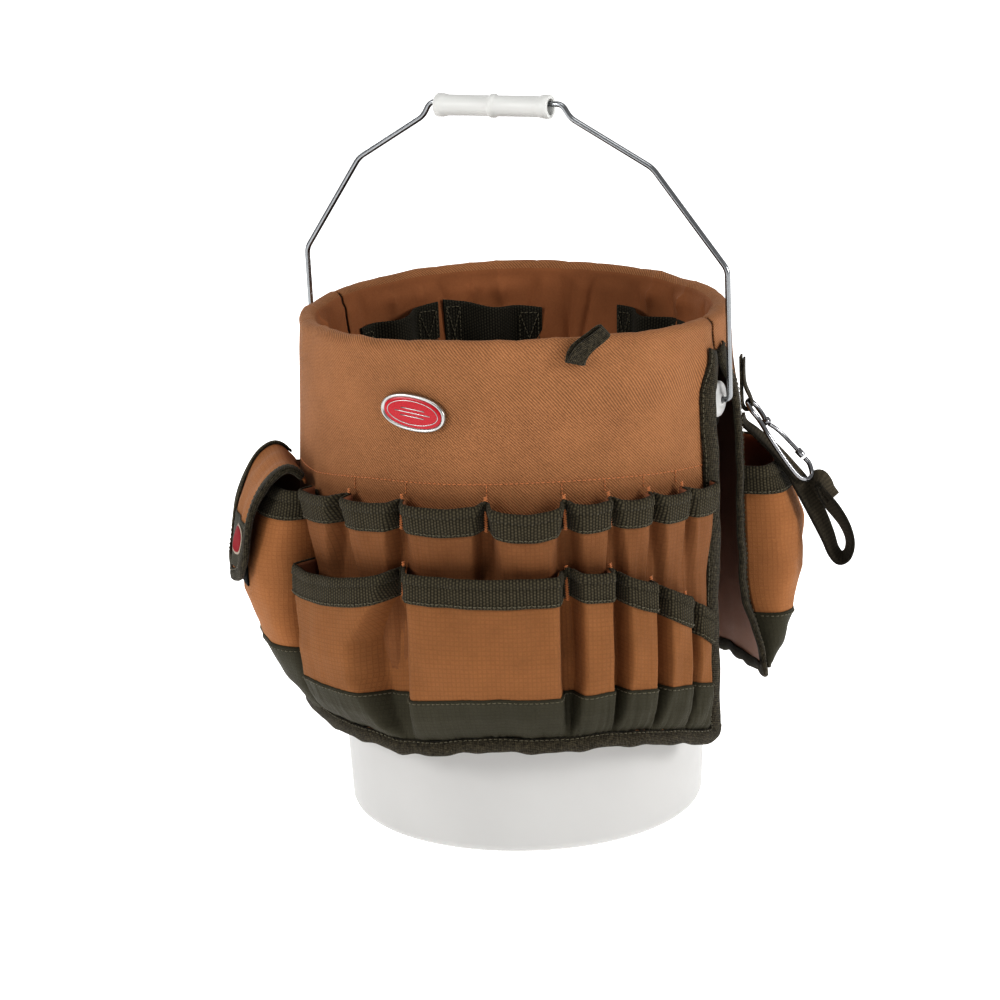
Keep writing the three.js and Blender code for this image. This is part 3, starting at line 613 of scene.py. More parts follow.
# The grip's half section as (radius, along), about its own middle.
GRIP = [(6.9, -45.5), (8.0, -45.4), (8.5, -44.8), (8.5, -40.5), (8.1, -38.5), (7.6, -36.5), (7.45, -20),
        (7.5, -3), (7.8, -2.2), (8.5, -1.4), (8.6, -0.6)]
GRIP_OUT, GRIP_Z, GRIP_SLOPE = -11.5, 517.6, 0.0163


def make_bail():
    path = rounded_path([place(BAIL_AZ, 0, s, z) for s, z in BAIL], 4.5 * MM, 7)
    dress(rod("bail", path, 2.0, WIRE, "bail", 20), "plated_steel", "bail_wire")
    far_half = [(r, -along) for r, along in GRIP[:0:-1]]
    outer = [(5.7, -45.5)] + GRIP + far_half + [(5.9, 45.5), (5.7, 45.1)]
    tube = lathe("grip", outer, GRIP_WHITE, place(BAIL_AZ, 0, GRIP_OUT, GRIP_Z),
                 place(BAIL_AZ, 0, 1, GRIP_SLOPE), "grip", 64)
    dress(tube, "white_plastic", "bail_grip")


# ------------------------------------------------------------------ wraps
RIM_RISE = 5.0
ROLL_R, ROLL_MID, ROLL_Z = 6.6, 149.6, 366.6
INSIDE_Z = [215, 290, 346, 360]
INSIDE_R = [134.9, 138.9, 142.4, 143.0]
BIND = math.degrees(4.0 / SKIRT_MEAN_R)
LINING_FOOT, LINING_TOP, WRAP_COLUMNS = 215, 362, 420


def inside_row(side, a, z):
    """One line of the cloth inside the pail, pushed about by its folds and pleats."""
    turn, seed = SIDES[side]["turn"], SIDES[side]["seed"]
    hang = smoothstep(RIM_Z - z, 0, 60)
    folds = ripples(a, 0 * a + z, 31 + seed, 24, 300, 9)
    calm = 1 - 0.85 * sum(np.exp(-((a - loop) / 14) ** 4) for loop in SIDES[side]["loops"])
    calm = np.maximum(calm, smoothstep(z, 344, 356))
    pleat = (creases(a, z + 0 * a, side) * 9.0 + 1.5) * (0.7 + 0.3 * hang) * np.clip(calm, 0.1, 1)
    push = (folds * 1.8 + 5.0) * hang * calm + pleat
    return polar(a + turn, np.interp(z, INSIDE_Z, INSIDE_R) - 1.3 - np.maximum(push, -1.2), z + 0 * a)


def rim_row(side, a, q):
    """One line of the roll over the rim, q round it from inside (0) to outside (pi)."""
    turn, seed = SIDES[side]["turn"], SIDES[side]["seed"]
    pleat = creases(a, 0 * a + RIM_Z, side)
    crest = ripples(a, 0 * a, 60 + seed, 30, 100, 9) * 1.1 + pleat * 0.9
    crest = crest + RIM_RISE * np.cos(np.radians(np.clip(a * 1.2, -90, 90))) ** 2
    r = ROLL_MID - ROLL_R * np.cos(q) + (0.4 if q > 1.6 else 0)
    r = r - np.maximum(pleat * 1.6, 0) * max(0, math.cos(q))
    r = r + slack(side, a, 0 * a + 366) * max(0, -math.cos(q))
    return polar(a + turn, r, ROLL_Z + (7.6 + crest) * np.sin(q))


def make_wrap(side):
    """One half of the organizer: inside skirt, roll over the rim, and outside skirt, one sheet."""
    t = np.linspace(0, 1, WRAP_COLUMNS)
    wide = LEFT - SLIT_REACH + t * (RIGHT - LEFT + 2 * SLIT_REACH)
    inside = [inside_row(side, wide, z) for z in np.linspace(LINING_FOOT, LINING_TOP, 26)]
    rows = inside + [rim_row(side, wide, q) for q in np.linspace(-0.35, math.pi, 12)[1:-1]]
    for z in np.concatenate([np.linspace(365, 320, 18), np.linspace(316, HEM_Z + 3, 44)]):
        reach = slit(z)
        a = LEFT - reach + t * (RIGHT - LEFT + 2 * reach)
        rows.append(skirt(side, a + (1 - reach / SLIT_REACH) * BIND * (1 - 2 * t), z, 0))
    points = np.stack(rows[::-1], axis=1)
    # The lining shows inside and a little way up the roll; the outside skirt's back is the coated side.
    obj = cloth("%s_cloth" % side, points, BROWN, 1.3, back=BACKING)
    for _ in range(2):
        obj.data.materials.append(BROWN_IN)
    lined_from = len(rows) - 1 - (len(inside) + 2)
    for poly in obj.data.polygons:
        if poly.vertices[0] % len(rows) >= lined_from:
            poly.material_index = 2
    dress(obj, "brown_cloth", "%s_wrap" % side)
    return obj, points


# ------------------------------------------------------------------ pockets
# Across a pocket, from seam (-1) to seam (1): where the left pleat ends, where the face starts and ends, and
# where the right pleat starts.
LEANING = (-0.72, -0.3, 0.76, 0.92)
UPRIGHT = (-1.0, -0.62, 0.7, 0.88)
ROUND = (-0.88, -0.6, 0.6, 0.86)
FOLDED_IN = (-1.0, -0.72, 0.24, 0.62)
LAST = (-0.72, -0.3, 0.3, 0.8)
BOX = (-1.0, -0.78, 0.84, 0.93)
CLOSED = np.array([-0.99, -0.9, 0.9, 0.99])

UPPER_TOP, UPPER_FOOT, FULL = (270, 270), 150, 222
# Webbing folded over an edge: height above it, and distance off the cloth.
WEBBING_FOLD = [(-20, 0.35), (-19.5, 1.5), (-10, 1.7), (-1.6, 1.7), (-0.3, 1.4), (0.35, 0.4), (0.2, -0.9),
                (-1.2, -1.7), (-6.0, -1.8)]
TACK_DEPTH, TACK_TURNS, TACK_WIDTH = 8.2, 30, 2.8
COLUMNS, COLUMNS_NARROW, NARROW = 54, 36, 14


class Pocket:
    """One pocket of a row: lo and hi are its seams' azimuths, tops its top's height at each of them."""

    def __init__(self, side, lo, hi, depth, folds, tops, sag, seed, lower=True, ease=0.85):
        self.side, self.lo, self.hi, self.depth, self.folds = side, lo, hi, depth, np.array(folds)
        self.tops, self.sag, self.seed, self.lower, self.ease = tops, sag, seed, lower, ease

    def unit(self, a):
        return np.clip(2 * (a - self.lo) / (self.hi - self.lo) - 1, -1, 1)

    def top(self, a):
        t = (a - self.lo) / (self.hi - self.lo)
        line = self.tops[0] + (self.tops[1] - self.tops[0]) * t
        return line - self.sag * (1 - self.unit(a) ** 2)

    def shape(self, a, level):
        """The section's outline: a face between two pleats, which shut at the hem and ease at the top."""
        u, level = np.broadcast_arrays(self.unit(a), level)
        if self.lower:
            ease = [0.1, 0.55, 1.0, 1.0, self.ease + 0.1, self.ease]
            opened = np.interp(level, [0, 0.12, 0.38, 0.6, 0.85, 1], ease)
        else:
            opened = np.interp(level, [0, 0.55, 0.82, 1], [1.7, 1.4, 0.9, 0.5 * self.ease])
        edges = CLOSED[:, None] + (self.folds - CLOSED)[:, None] * opened.ravel()[None, :]
        edges = edges.reshape((4,) + u.shape)
        rise = smoothstep(u, edges[0], edges[1])
        fall = 1 - smoothstep(u, edges[2], edges[3])
        return rise ** 0.6 * fall ** 0.6 * (1 - 0.1 * u * u)

    def share(self, level):
        """How much of the depth is reached at each level."""
        if self.lower:
            return np.interp(level, [0, 0.025, 0.07, 0.16, 0.3, 0.5, 0.8, 1.0],
                             [0.02, 0.14, 0.38, 0.64, 0.88, 1.0, 1.0, 0.93])
        return np.interp(level, [0, 0.45, 0.75, 1.0], [0.12, 0.36, 0.82, 1.0])

    def depth_at(self, a, level):
        u = np.abs(self.unit(a))
        d = self.depth * self.share(level) * self.shape(a, level)
        inside = 1 - u ** 6
        wobble = ripples(a * 2.9, level * 130, self.seed, 26, 70, 6) * 1.3 * inside
        # Creases: sharp valleys that run up from the gathered foot and out from the seams.
        crease = -np.abs(ripples(a * 2.9 + level * 6, level * 60, self.seed + 3, 11, 150, 6)) ** 0.7 * 1.5
        pulls = crease * inside * (np.exp(-level / 0.22) + 0.8 * np.exp(-(1 - u) / 0.2) + 0.25)
        seam = 0.6 + 1.0 * smoothstep(level, 0, 0.08) + 4.0 * smoothstep(level, 0.72, 0.95)
        return np.hypot(seam, np.maximum(d, 0)) + wobble + pulls


def row_columns(pockets):
    """Azimuths along a row of pockets, closer together towards each seam, with each one's pocket."""
    out = []
    for k, p in enumerate(pockets):
        s = np.linspace(-1, 1, (COLUMNS if p.hi - p.lo > NARROW else COLUMNS_NARROW) + 1)
        u = np.sign(s) * (1 - (1 - np.abs(s)) ** 1.3)
        for x in (u if k == len(pockets) - 1 else u[:-1]):
            out.append((p, p.lo + (x + 1) / 2 * (p.hi - p.lo)))
    return out


def row_points(pockets, levels, bottom):
    """A grid over a whole row: levels run from 0 at the bottom to 1 at each pocket's own top."""
    rows = []
    for p, a in row_columns(pockets):
        aa = np.full(len(levels), a)
        rows.append(skirt(p.side, aa, bottom + levels * (p.top(aa) - bottom), p.depth_at(aa, levels)))
    return np.array(rows)


def band_points(pockets, bottom, heights, offsets):
    """A band over a row's outside: heights(pocket, azimuth) up each column, and offsets off the cloth."""
    rows = []
    for p, a in row_columns(pockets):
        zs = heights(p, a)
        aa = np.full(len(zs), a)
        level = np.clip((zs - bottom) / (p.top(aa) - bottom), 0, 1)
        rows.append(skirt(p.side, aa, zs, p.depth_at(aa, level)))
    base = np.array(rows)
    # At a seam two bulges meet in a valley: the band bridges it, so normals there are kept radial.
    flat = base * (1, 1, 0)
    radial = flat / np.maximum(np.linalg.norm(flat, axis=2, keepdims=True), 1e-9)
    n = normals_of(base) * 0.75 + radial * 0.25
    n /= np.linalg.norm(n, axis=2, keepdims=True)
    return base + n * (np.asarray(offsets)[None, :, None] * MM), n


def add_row(side, label, pockets, bottom, nodes, material):
    """A row of pockets in one strip, its webbing, its stitching and its bar-tacks."""
    levels = np.concatenate([np.linspace(0, 0.12, 9)[:-1], np.linspace(0.12, 1.0, 44)])
    points = row_points(pockets, levels, bottom)
    obj = cloth("%s_%s_pockets" % (side, label), points, material, 1.2, back=BACKING)
    dress(obj, "brown_cloth", *nodes)
    # Webbing folded over the top edges: up the outside, over, and a little down the inside.
    rise, off = np.array(WEBBING_FOLD).T
    points_top, n = band_points(pockets, bottom, lambda p, a: p.top(np.array(a)) + rise, off)
    band = cloth("%s_%s_top" % (side, label), points_top, WEB, 1.1, offset=-0.6)
    dress(band, "olive_webbing", "%s_%s_webbing" % (side, label))
    olive.line(points_top[:, 1] + n[:, 1] * 0.5 * MM + np.array([0, 0, 1.6 * MM]), n[:, 1], 2.4, 1.0)
    # A bar-tack at each division, over the webbing and a little above it.
    for p in pockets[:-1]:
        top = float(p.top(np.array(p.hi)))
        lo = Vector(skirt(side, p.hi, top - 20.5, TACK_DEPTH))
        hi = Vector(skirt(side, p.hi, top + 4.0, TACK_DEPTH - 2))
        out, across = directions(p.hi + SIDES[side]["turn"])
        tacks.tack(lo, hi, across, out, TACK_TURNS, TACK_WIDTH)


def boot_band(side, pockets):
    """The reinforced band round the pockets' bottoms."""
    foot = POCKET_FOOT
    zs = np.concatenate([np.linspace(foot - 0.5, foot + 6, 6), np.linspace(foot + 9, BOOT_Z, 14)])
    rise = np.interp(zs, [foot - 0.5, foot + 3, BOOT_Z - 1.2, BOOT_Z], [0.5, 0.9, 1.2, 0.4])
    points, n = band_points(pockets, foot, lambda p, a: zs, rise)
    obj = cloth("%s_boot" % side, points, OLIVE, 0.9, offset=-0.8)
    dress(obj, "olive_cloth", "%s_boot_band" % side)
    olive.line(points[:, -2] + n[:, -2] * 0.2 * MM, n[:, -2], 2.6, 1.1)


def upper_row(side, seams, seed, rows):
    return [Pocket(side, lo, hi, depth, folds, UPPER_TOP, sag, seed + i, lower=False)
            for i, (lo, hi, (depth, folds, sag)) in enumerate(zip(seams, seams[1:], rows))]


FRONT_SEAMS = [-62, -45.7, -29.2, -8, 10.5, 21.5, 32.5, 43, 53.6]
REAR_SEAMS = [-70, -47, -24, -4, 16, 35, 53.6]
front_upper = upper_row("front", FRONT_SEAMS, 100, [
    (18, FOLDED_IN, 1.5), (19, ROUND, 1.5), (17, UPRIGHT, 3.0), (21, ROUND, 6.0),
    (15, LEANING, 2.5), (14, LEANING, 2.5), (15, LEANING, 2.5), (12, LEANING, 2.5)])
rear_upper = upper_row("rear", REAR_SEAMS, 140, [
    (18, ROUND, 3), (18, UPRIGHT, 3), (17, ROUND, 2), (17, UPRIGHT, 4), (16, ROUND, 2), (16, ROUND, 3)])
# Seams' azimuths, depth, folds, top heights, sag, and how far the pleats ease.
front_lower = [Pocket("front", lo, hi, depth, folds, tops, sag, 120 + i, ease=ease)
               for i, (lo, hi, depth, folds, tops, sag, ease) in enumerate([
                   (-62, -29.2, 29, FOLDED_IN, (217, FULL), 5.5, 0.15),
                   (-29.2, 10.5, 25, BOX, (FULL, 220), 1.5, 0.8),
                   (10.5, 21.5, 20, LEANING, (FULL, 219), 1.2, 0.8),
                   (21.5, 32.5, 19, LEANING, (219, 206), 1.2, 0.8),
                   (32.5, 43, 17, LEANING, (206, 191), 1.2, 0.8),
                   (43, 53.0, 12.5, LAST, (191, 175), 1.2, 0.8)])]
rear_lower = [Pocket("rear", lo, hi, depth, folds, (FULL, FULL), sag, 160 + i)
              for i, (lo, hi, depth, folds, sag) in enumerate([
                  (-70, -24, 29, BOX, 5), (-24, 16, 27, BOX, 3), (16, 35, 25, UPRIGHT, 2),
                  (35, 53.6, 25, ROUND, 2)])]


# ------------------------------------------------------------------ bindings
TAPE_TOP = 351
# Tape folded over an edge: distance in from it, and off the cloth.
TAPE_FOLD = [(10.6, 0.4), (10.3, 1.8), (6, 2.4), (1.2, 1.9), (0.0, 0.6), (-0.35, -0.7), (0.2, -1.9),
             (2.5, -2.4), (9.0, -2.5)]


def make_binding(side):
    """Woven tape folded over a skirt's two ends and along its hem."""
    q = np.linspace(0, 1, 7)
    down, up = np.linspace(TAPE_TOP, HEM_Z + 14, 50), np.linspace(HEM_Z + 15, TAPE_TOP, 50)
    hem = np.linspace(LEFT + 7, RIGHT - 7, 130)
    a = np.concatenate([LEFT - slit(down) + 0.25, LEFT + 5 * q * q, hem, RIGHT - 5 * (1 - q) ** 2,
                        RIGHT + slit(up) - 0.25])
    z = np.concatenate([down, HEM_Z + 14 * (1 - q) ** 2, 0 * hem + HEM_Z, HEM_Z + 14 * q * q, up])
    # Inward direction on the cloth, in millimetres, from the path's tangent.
    along = np.stack([a * math.radians(1) * SKIRT_MEAN_R, z], axis=1)
    run = arc(along)
    ta, tz = np.gradient(along, axis=0).T
    length = np.hypot(ta, tz)
    ina, inz = -tz / length, ta / length
    wave = np.sin(run / 11.0) * 0.4 + np.sin(run / 4.7 + 1) * 0.3
    pucker = (0.5 * np.sin(run / 5.3) + 0.35 * np.sin(run / 2.9)) * np.abs(inz)
    rows = []
    for inward, out in TAPE_FOLD:
        height = z + inz * inward - pucker * max(0, 3 - inward) / 3
        rows.append(skirt(side, a + np.degrees(ina * inward / SKIRT_MEAN_R), height, out + 0.3 + wave))
    points = np.stack(rows, axis=1)
    uvs = tape_uv(run, TAPE_FOLD)
    obj = cloth("%s_edge_tape" % side, points[::-1], TAPE, 0.9, uvs=uvs[::-1], offset=-0.5)
    dress(obj, "olive_webbing", "%s_binding" % side)
    out = points[:, 2] - points[:, 6]
    olive.line(points[:, 1] * 0.75 + points[:, 2] * 0.25 + out * 0.12, out, 2.5, 1.1)
    return obj


SEAM_Z, SEAM_TOP, SEAM_FOOT = 281, 280.5, 272


def make_seam(side, seams):
    """The long stitch line where the pocket panel joins, and short ones down to each division."""
    turn = SIDES[side]["turn"]
    a = np.linspace(LEFT + 30, RIGHT - 3.5, 160)
    z = SEAM_Z - 2.5 * np.clip((-40 - a) / 40, 0, 1) + 0.4 * np.sin(a / 9)
    orange.line(skirt(side, a, z, 0.25), polar(a + turn, 1, 0 * a) / MM, 2.6, 1.0)
    for s in seams[1:-1]:
        down = np.linspace(SEAM_TOP, SEAM_FOOT, 6)
        orange.line(skirt(side, s, down, 0.25), polar(s + turn + 0 * down, 1, 0 * down) / MM, 2.2, 0.7)


# ------------------------------------------------------------------ pouches
POUCH_COLUMNS, POUCH_SQUARENESS, POUCH_BOOT_Z = 64, 3.6, 150
POUCH_FOLD = [(-20, 0.3), (-19.5, 1.4), (-10, 1.6), (-1.5, 1.6), (-0.2, 1.2), (0.3, 0.2), (0.0, -1.3),
              (-1.5, -2.0), (-8, -2.1)]


class Pouch:
    """A deep, nearly square pouch. rows are (z, share of the depth)."""

    def __init__(self, side, lo, hi, depth, lift, rows, seed):
        self.side, self.lo, self.hi, self.depth, self.lift, self.seed = side, lo, hi, depth, lift, seed
        self.z, self.s = zip(*rows)

    def surface(self, zs, offs):
        """Grid over the pouch, and its normals: the section runs from one seam round to the other."""
        mid, half = (self.lo + self.hi) / 2, (self.hi - self.lo) / 2
        t = np.linspace(-1, 1, POUCH_COLUMNS + 1) * math.pi / 2
        across = np.sign(np.sin(t)) * np.abs(np.sin(t)) ** (2 / POUCH_SQUARENESS)
        outward = np.abs(np.cos(t)) ** (2 / POUCH_SQUARENESS)
        columns = []
        for z in zs:
            depth = self.depth * np.interp(z, self.z, self.s)
            # Even out the spacing along the section.
            run = arc(np.stack([across * half * 2.8, outward * depth], axis=1))
            even = np.linspace(0, run[-1], POUCH_COLUMNS + 1)
            x, y = np.interp(even, run, across), np.interp(even, run, outward)
            zz = np.full(POUCH_COLUMNS + 1, float(z))
            crease = ripples(x * 40, zz, self.seed, 22, 60, 7) * 1.4
            pinch = 1 - 0.05 * smoothstep(z, 235, 268) * (1 - np.abs(x) ** 2)
            d = 1.2 + self.lift + depth * y * pinch
            d = d + crease * np.minimum(1, y * 1.2) * (0.4 + 0.6 * (1 - y ** 8))
            d = d + 0.9 * ripples(x * 30, zz, self.seed + 9, 18, 34, 6) * y
            columns.append(skirt(self.side, mid + x * half, zz, d))
        base = np.stack(columns, axis=1)
        n = normals_of(base)
        return base + n * (np.asarray(offs) * MM)[..., None], n


def make_pouch(name, pouch, cad):
    lo, hi = pouch.z[0], pouch.z[-1]
    zs = np.concatenate([np.linspace(lo - 2, lo + 14, 10)[:-1], np.linspace(lo + 14, hi, 38)])
    points, _ = pouch.surface(zs, 0 * zs)
    body = cloth(name, points, PANEL, 1.3, back=BACKING)
    dress(body, "brown_cloth", cad)
    rise, off = np.array(POUCH_FOLD).T
    top = cloth("%s_top" % name, pouch.surface(hi + rise, off)[0], WEB, 1.1, offset=-0.6)
    dress(top, "olive_webbing", "%s_webbing" % cad)
    base, n = pouch.surface(np.linspace(hi - 20, hi - 0.2, 9), np.zeros(9))
    olive.line(n[:, 0] * 1.7 * MM + base[:, 0] + np.array([0, 0, 1.8 * MM]), n[:, 0], 2.4, 1.0)
    zs = np.concatenate([np.linspace(lo - 2, lo + 10, 8)[:-1], np.linspace(lo + 10, POUCH_BOOT_Z, 14)])
    rise = np.interp(zs, [lo - 2, lo + 3, POUCH_BOOT_Z - 1.4, POUCH_BOOT_Z], [0.4, 1.3, 1.5, 0.4])
    foot, n = pouch.surface(zs, rise)
    boot = cloth("%s_boot_cloth" % name, foot, OLIVE, 0.9, offset=-0.8)
    dress(boot, "olive_cloth", "%s_boot" % cad)
    olive.line(foot[2:-2, -2] + n[2:-2, -2] * 0.2 * MM, n[2:-2, -2], 2.6, 1.1)


PHONE_ROWS = [(101, 0.05), (118, 0.36), (150, 0.7), (185, 0.95), (215, 0.97), (245, 0.78), (266, 0.52)]
HOLSTER_ROWS = [(101, 0.1), (118, 0.4), (150, 0.7), (185, 0.92), (225, 0.97), (248, 0.78), (268, 0.54)]


# ------------------------------------------------------------------ flap
FLAP_AZ, FLAP_HALF, FLAP_ROUND, FLAP_TIP = -79.4, 42.0, 0.7, 0.955
# The flap's middle, out from the skirt and up.
FLAP_LINE = [(1.4, 263), (3.2, 266), (6.2, 269), (10.5, 272.5), (16, 273.6), (23.5, 270), (31.5, 262),
             (39.5, 249.5), (45.5, 235.5), (49.5, 219.5), (52, 204), (53.2, 191), (53.6, 180)]
FLAP_FOLD = [(8.4, 0.4), (8.2, 1.3), (4, 1.6), (0.8, 1.3), (0, 0.3), (-0.2, -0.9), (0.5, -2.2), (3, -2.6),
             (7.5, -2.7)]
flap_line = np.array([(p.x, p.z) for p in smooth_path([(d, 0, z) for d, z in FLAP_LINE], 8)])
flap_run = arc(flap_line)
FLAP_LENGTH = flap_run[-1]


def along_flap(s):
    """Depth and height of the flap's middle, s millimetres from its root."""
    return np.interp(s, flap_run, flap_line[:, 0]), np.interp(s, flap_run, flap_line[:, 1])


def on_flap(t, d, z):
    """Points in the flap's own frame: t to the right, d out from the skirt, z up."""
    t, d, z = np.broadcast_arrays(t, d, z)
    return polar(FLAP_AZ, SKIRT_MEAN_R + d, z) + polar(FLAP_AZ + 90, t, 0 * z)


def flap_bow(t, s):
    """Cloth bows: its long edges sit lower than its middle over the pouch's front."""
    return -3.2 * (t / FLAP_HALF) ** 2 * smoothstep(s, 30, 90) + 1.4 * ripples(t, s, 77, 40, 60, 6)


def flap_half(s):
    """Half width along the flap: straight, then rounded at the tip."""
    x = np.clip((s - FLAP_ROUND) / (FLAP_TIP - FLAP_ROUND), 0, 1)
    return FLAP_HALF * np.sqrt(np.clip(1 - x ** 2.3, 0.0, 1)) * (1 - 0.04 * smoothstep(s, 0.1, 0.5))


def flap_grid(start, end, widths, off, across=33, along=60, shift=0.0):
    """The flap's surface between two places (0 root, 1 tip), with a half-width at each step."""
    s = np.linspace(start, end, along) * FLAP_LENGTH
    d, z = along_flap(s)
    td, tz = np.gradient(d), np.gradient(z)
    length = np.hypot(td, tz)
    t = np.linspace(-1, 1, across)[:, None] * widths(s / FLAP_LENGTH)[None, :] + shift
    rise = off + flap_bow(t, s + 0 * t)
    return on_flap(t, d - tz / length * rise, z + td / length * rise)[::-1]


def flap_tape():
    """Tape folded over the flap's edge, all the way round."""
    bend = np.sin(np.linspace(0, math.pi / 2, 34))[1:]
    along = np.concatenate([np.linspace(0.04, FLAP_ROUND, 40), FLAP_ROUND + (FLAP_TIP - FLAP_ROUND) * bend])
    edge_t = np.concatenate([-flap_half(along), flap_half(along)[::-1][1:]])
    edge_s = np.concatenate([along, along[::-1][1:]]) * FLAP_LENGTH
    gt, gs = np.gradient(edge_t), np.gradient(edge_s)
    length = np.maximum(np.hypot(gt, gs), 1e-6)
    rows = []
    for inward, off in FLAP_FOLD:
        t = edge_t + gs / length * inward
        s = np.clip(edge_s - gt / length * inward, 0, FLAP_LENGTH)
        d, z = along_flap(s)
        (d1, z1), (d2, z2) = (along_flap(np.clip(s + step, 0, FLAP_LENGTH)) for step in (-0.8, 0.8))
        span = np.maximum(np.hypot(d2 - d1, z2 - z1), 1e-6)
        rise = off + flap_bow(t, s)
        rows.append(on_flap(t, d - (z2 - z1) / span * rise, z + (d2 - d1) / span * rise))
    points = np.stack(rows, axis=1)
    uvs = tape_uv(arc(points[:, 4]) / MM, FLAP_FOLD)
    obj = cloth("flap_edge_tape", points, TAPE, 0.9, "flap", uvs, -0.5)
    dress(obj, "olive_webbing", "flap_binding")
    out = points[:, 2] - points[:, 6]
    flap_olive.line(points[:, 1] * 0.7 + points[:, 2] * 0.3 + out * 0.14, out, 2.4, 1.1)


def oval(half, middle, reach):
    """Half widths of an oval patch along the flap."""
    return lambda q: half * np.sqrt(np.clip(1 - ((q - middle) / reach) ** 2, 0.001, 1))


def patch_half(q):
    return 25.0 * (1 - 0.3 * smoothstep(q, 0.76, 0.86) ** 2)


# The plain patch near the tip with its disc and ring, and the hook strip behind. A grid is given by where it
# starts and ends, its half widths, its distance off the cloth, its two counts, and its shift to the right.
FLAP_PIECES = [
    ("flap_patch", (0.58, 0.86, patch_half, 1.0, 25, 24, 6.0), OLIVE, 0.8, "olive_cloth", ["flap_label"]),
    ("flap_patch_disc", (0.62, 0.77, oval(12, 0.695, 0.0755), 1.7, 17, 22, 14.0), ENAMEL_CLOTH, 0.4,
     "red_enamel", []),
    ("flap_patch_ring", (0.606, 0.784, oval(14, 0.695, 0.0892), 1.4, 17, 22, 14.0), RING_CLOTH, 0.3,
     "olive_cloth", []),
    ("flap_hook_strip", (0.66, 0.86, lambda q: 19 + 0 * q, -2.0, 13, 16), BLACK_TAPE, 1.2,
     "black_tape", ["flap_hook_tape"])]


def make_flap(phone):
    points = flap_grid(0.0, FLAP_TIP - 0.004, lambda q: np.maximum(flap_half(q) - 1.0, 0.5), 0.0)
    panel = cloth("flap_cloth", points, PANEL, 1.6, "flap")
    dress(panel, "brown_cloth", "flap_panel")
    flap_tape()
    for name, grid, material, thick, slot, nodes in FLAP_PIECES:
        dress(cloth(name, flap_grid(*grid), material, thick, "flap"), slot, *nodes)
    strip, _ = phone.surface(np.linspace(192, 218, 16), np.full(16, 1.3))
    dress(cloth("pouch_loop_strip", strip[25:40], BLACK_TAPE, 0.9), "black_tape", "pouch_loop_tape")


# ------------------------------------------------------------------ hammer loops
# Each loop's azimuth, how far it hangs down at its two ends, and how far more in its middle.
LOOPS = [(-138, (-1, 8), 0.6), (-172, (8, -2), 1.2), (130, (6, 3), 1.0)]
LOOP_ENDS, LOOP_FOOT, LOOP_TOP = (-17, 15), 302, 352
# The boxes of stitching, as azimuths from the loop's middle, and heights.
LOOP_BOXES, BOX_FOOT, BOX_TOP = ((-16, -9.8), (9.8, 14.2)), 307, 347
# How far the loop stands off the lining along its length.
LOOP_AT = [-17, -15, -12, -9.5, -8, -6.5, -5, -3, 0, 3, 5, 6.5, 8, 9.5, 12, 15]
LOOP_OUT = [0, 0, 0, 0.2, 1.5, 5, 9, 12.5, 14, 12.5, 9, 5, 1.5, 0.2, 0, 0]


def lining(z):
    """The lining's inner radius at each height."""
    return np.interp(z, [215, 290, 350, 366], [134.9, 138.9, 142.6, 143])


def make_hammer_loop(index, azimuth, drops, sag):
    a = np.linspace(*LOOP_ENDS, 90)
    out = np.convolve(np.pad(np.interp(a, LOOP_AT, LOOP_OUT), 3, mode="edge"), np.ones(7) / 7, mode="valid")
    hang = np.interp(a, LOOP_ENDS, drops) + sag * np.exp(-(a / 8.0) ** 2)
    rows = []
    for z in np.linspace(LOOP_FOOT, LOOP_TOP, 22):
        wave = 0.8 * ripples(a * 2.5, 0 * a + z, 90 + index, 30, 50, 5)
        rows.append(polar(azimuth + a, lining(z - hang) - 5.2 - out - wave, z - hang))
    points = np.stack(rows, axis=1)
    obj = cloth("hammer_strap_%d" % index, points[::-1], WEB_WIDE, 1.5)
    dress(obj, "olive_webbing", "hammer_loop_%d" % index)
    # Box and cross stitching at both ends.
    for lo, hi in LOOP_BOXES:
        sink = np.interp((lo + hi) / 2, LOOP_ENDS, drops)
        foot, top = BOX_FOOT - sink, BOX_TOP - sink
        corners = [(lo, foot), (hi, foot), (hi, top), (lo, top)]
        for i, j in ((0, 1), (1, 2), (2, 3), (3, 0), (0, 2), (1, 3)):
            b, z = np.linspace(corners[i], corners[j], 14).T
            wave = 0.8 * ripples(b * 2.5, z, 90 + index, 30, 50, 5)
            inward = -polar(azimuth + b, 1, 0 * b) / MM
            olive.line(polar(azimuth + b, lining(z) - 6.1 - wave, z), inward, 2.6, 0.9)


# ------------------------------------------------------------------ rim tab and badge
RIM_TAB_AZ = 17.4
# Along the rim, out from the axis, and up.
RIM_TAB = [(-8, 158.0, 362), (-7.8, 158.8, 367), (-6, 160.4, 372), (-1, 161.4, 376.5), (5, 161.6, 380.5),
           (10, 162.0, 384), (12.5, 163.8, 384.8), (11, 166.0, 383), (5, 166.6, 379), (-1.5, 166.0, 374.5),
           (-6, 164.4, 369), (-7.8, 162.0, 363)]


def make_rim_tab():
    """A short loop of tape sewn to the front, leaning over the rim."""
    out, right = directions(RIM_TAB_AZ)
    line = smooth_path([Vector(p) for p in RIM_TAB], 6)
    rows = []
    for i, p in enumerate(line):
        t = i / (len(line) - 1)
        lean = math.radians(-14 - 34 * math.sin(t * math.pi) ** 0.7)
        across = right * math.cos(lean) + UP * math.sin(lean)
        half = 6.4 - 1.6 * math.sin(t * math.pi)
        centre = right * p.x + out * p.y + UP * p.z
        rows.append([tuple((centre + across * (k * half) + out * (0.5 * math.sin(k * 2 + t * 5))) * MM)
                     for k in np.linspace(-1, 1, 9)])
    tab = cloth("rim_tab_loop", np.array(rows), TAPE, 1.5, offset=0)
    dress(tab, "olive_webbing", "rim_tab")
    return tab


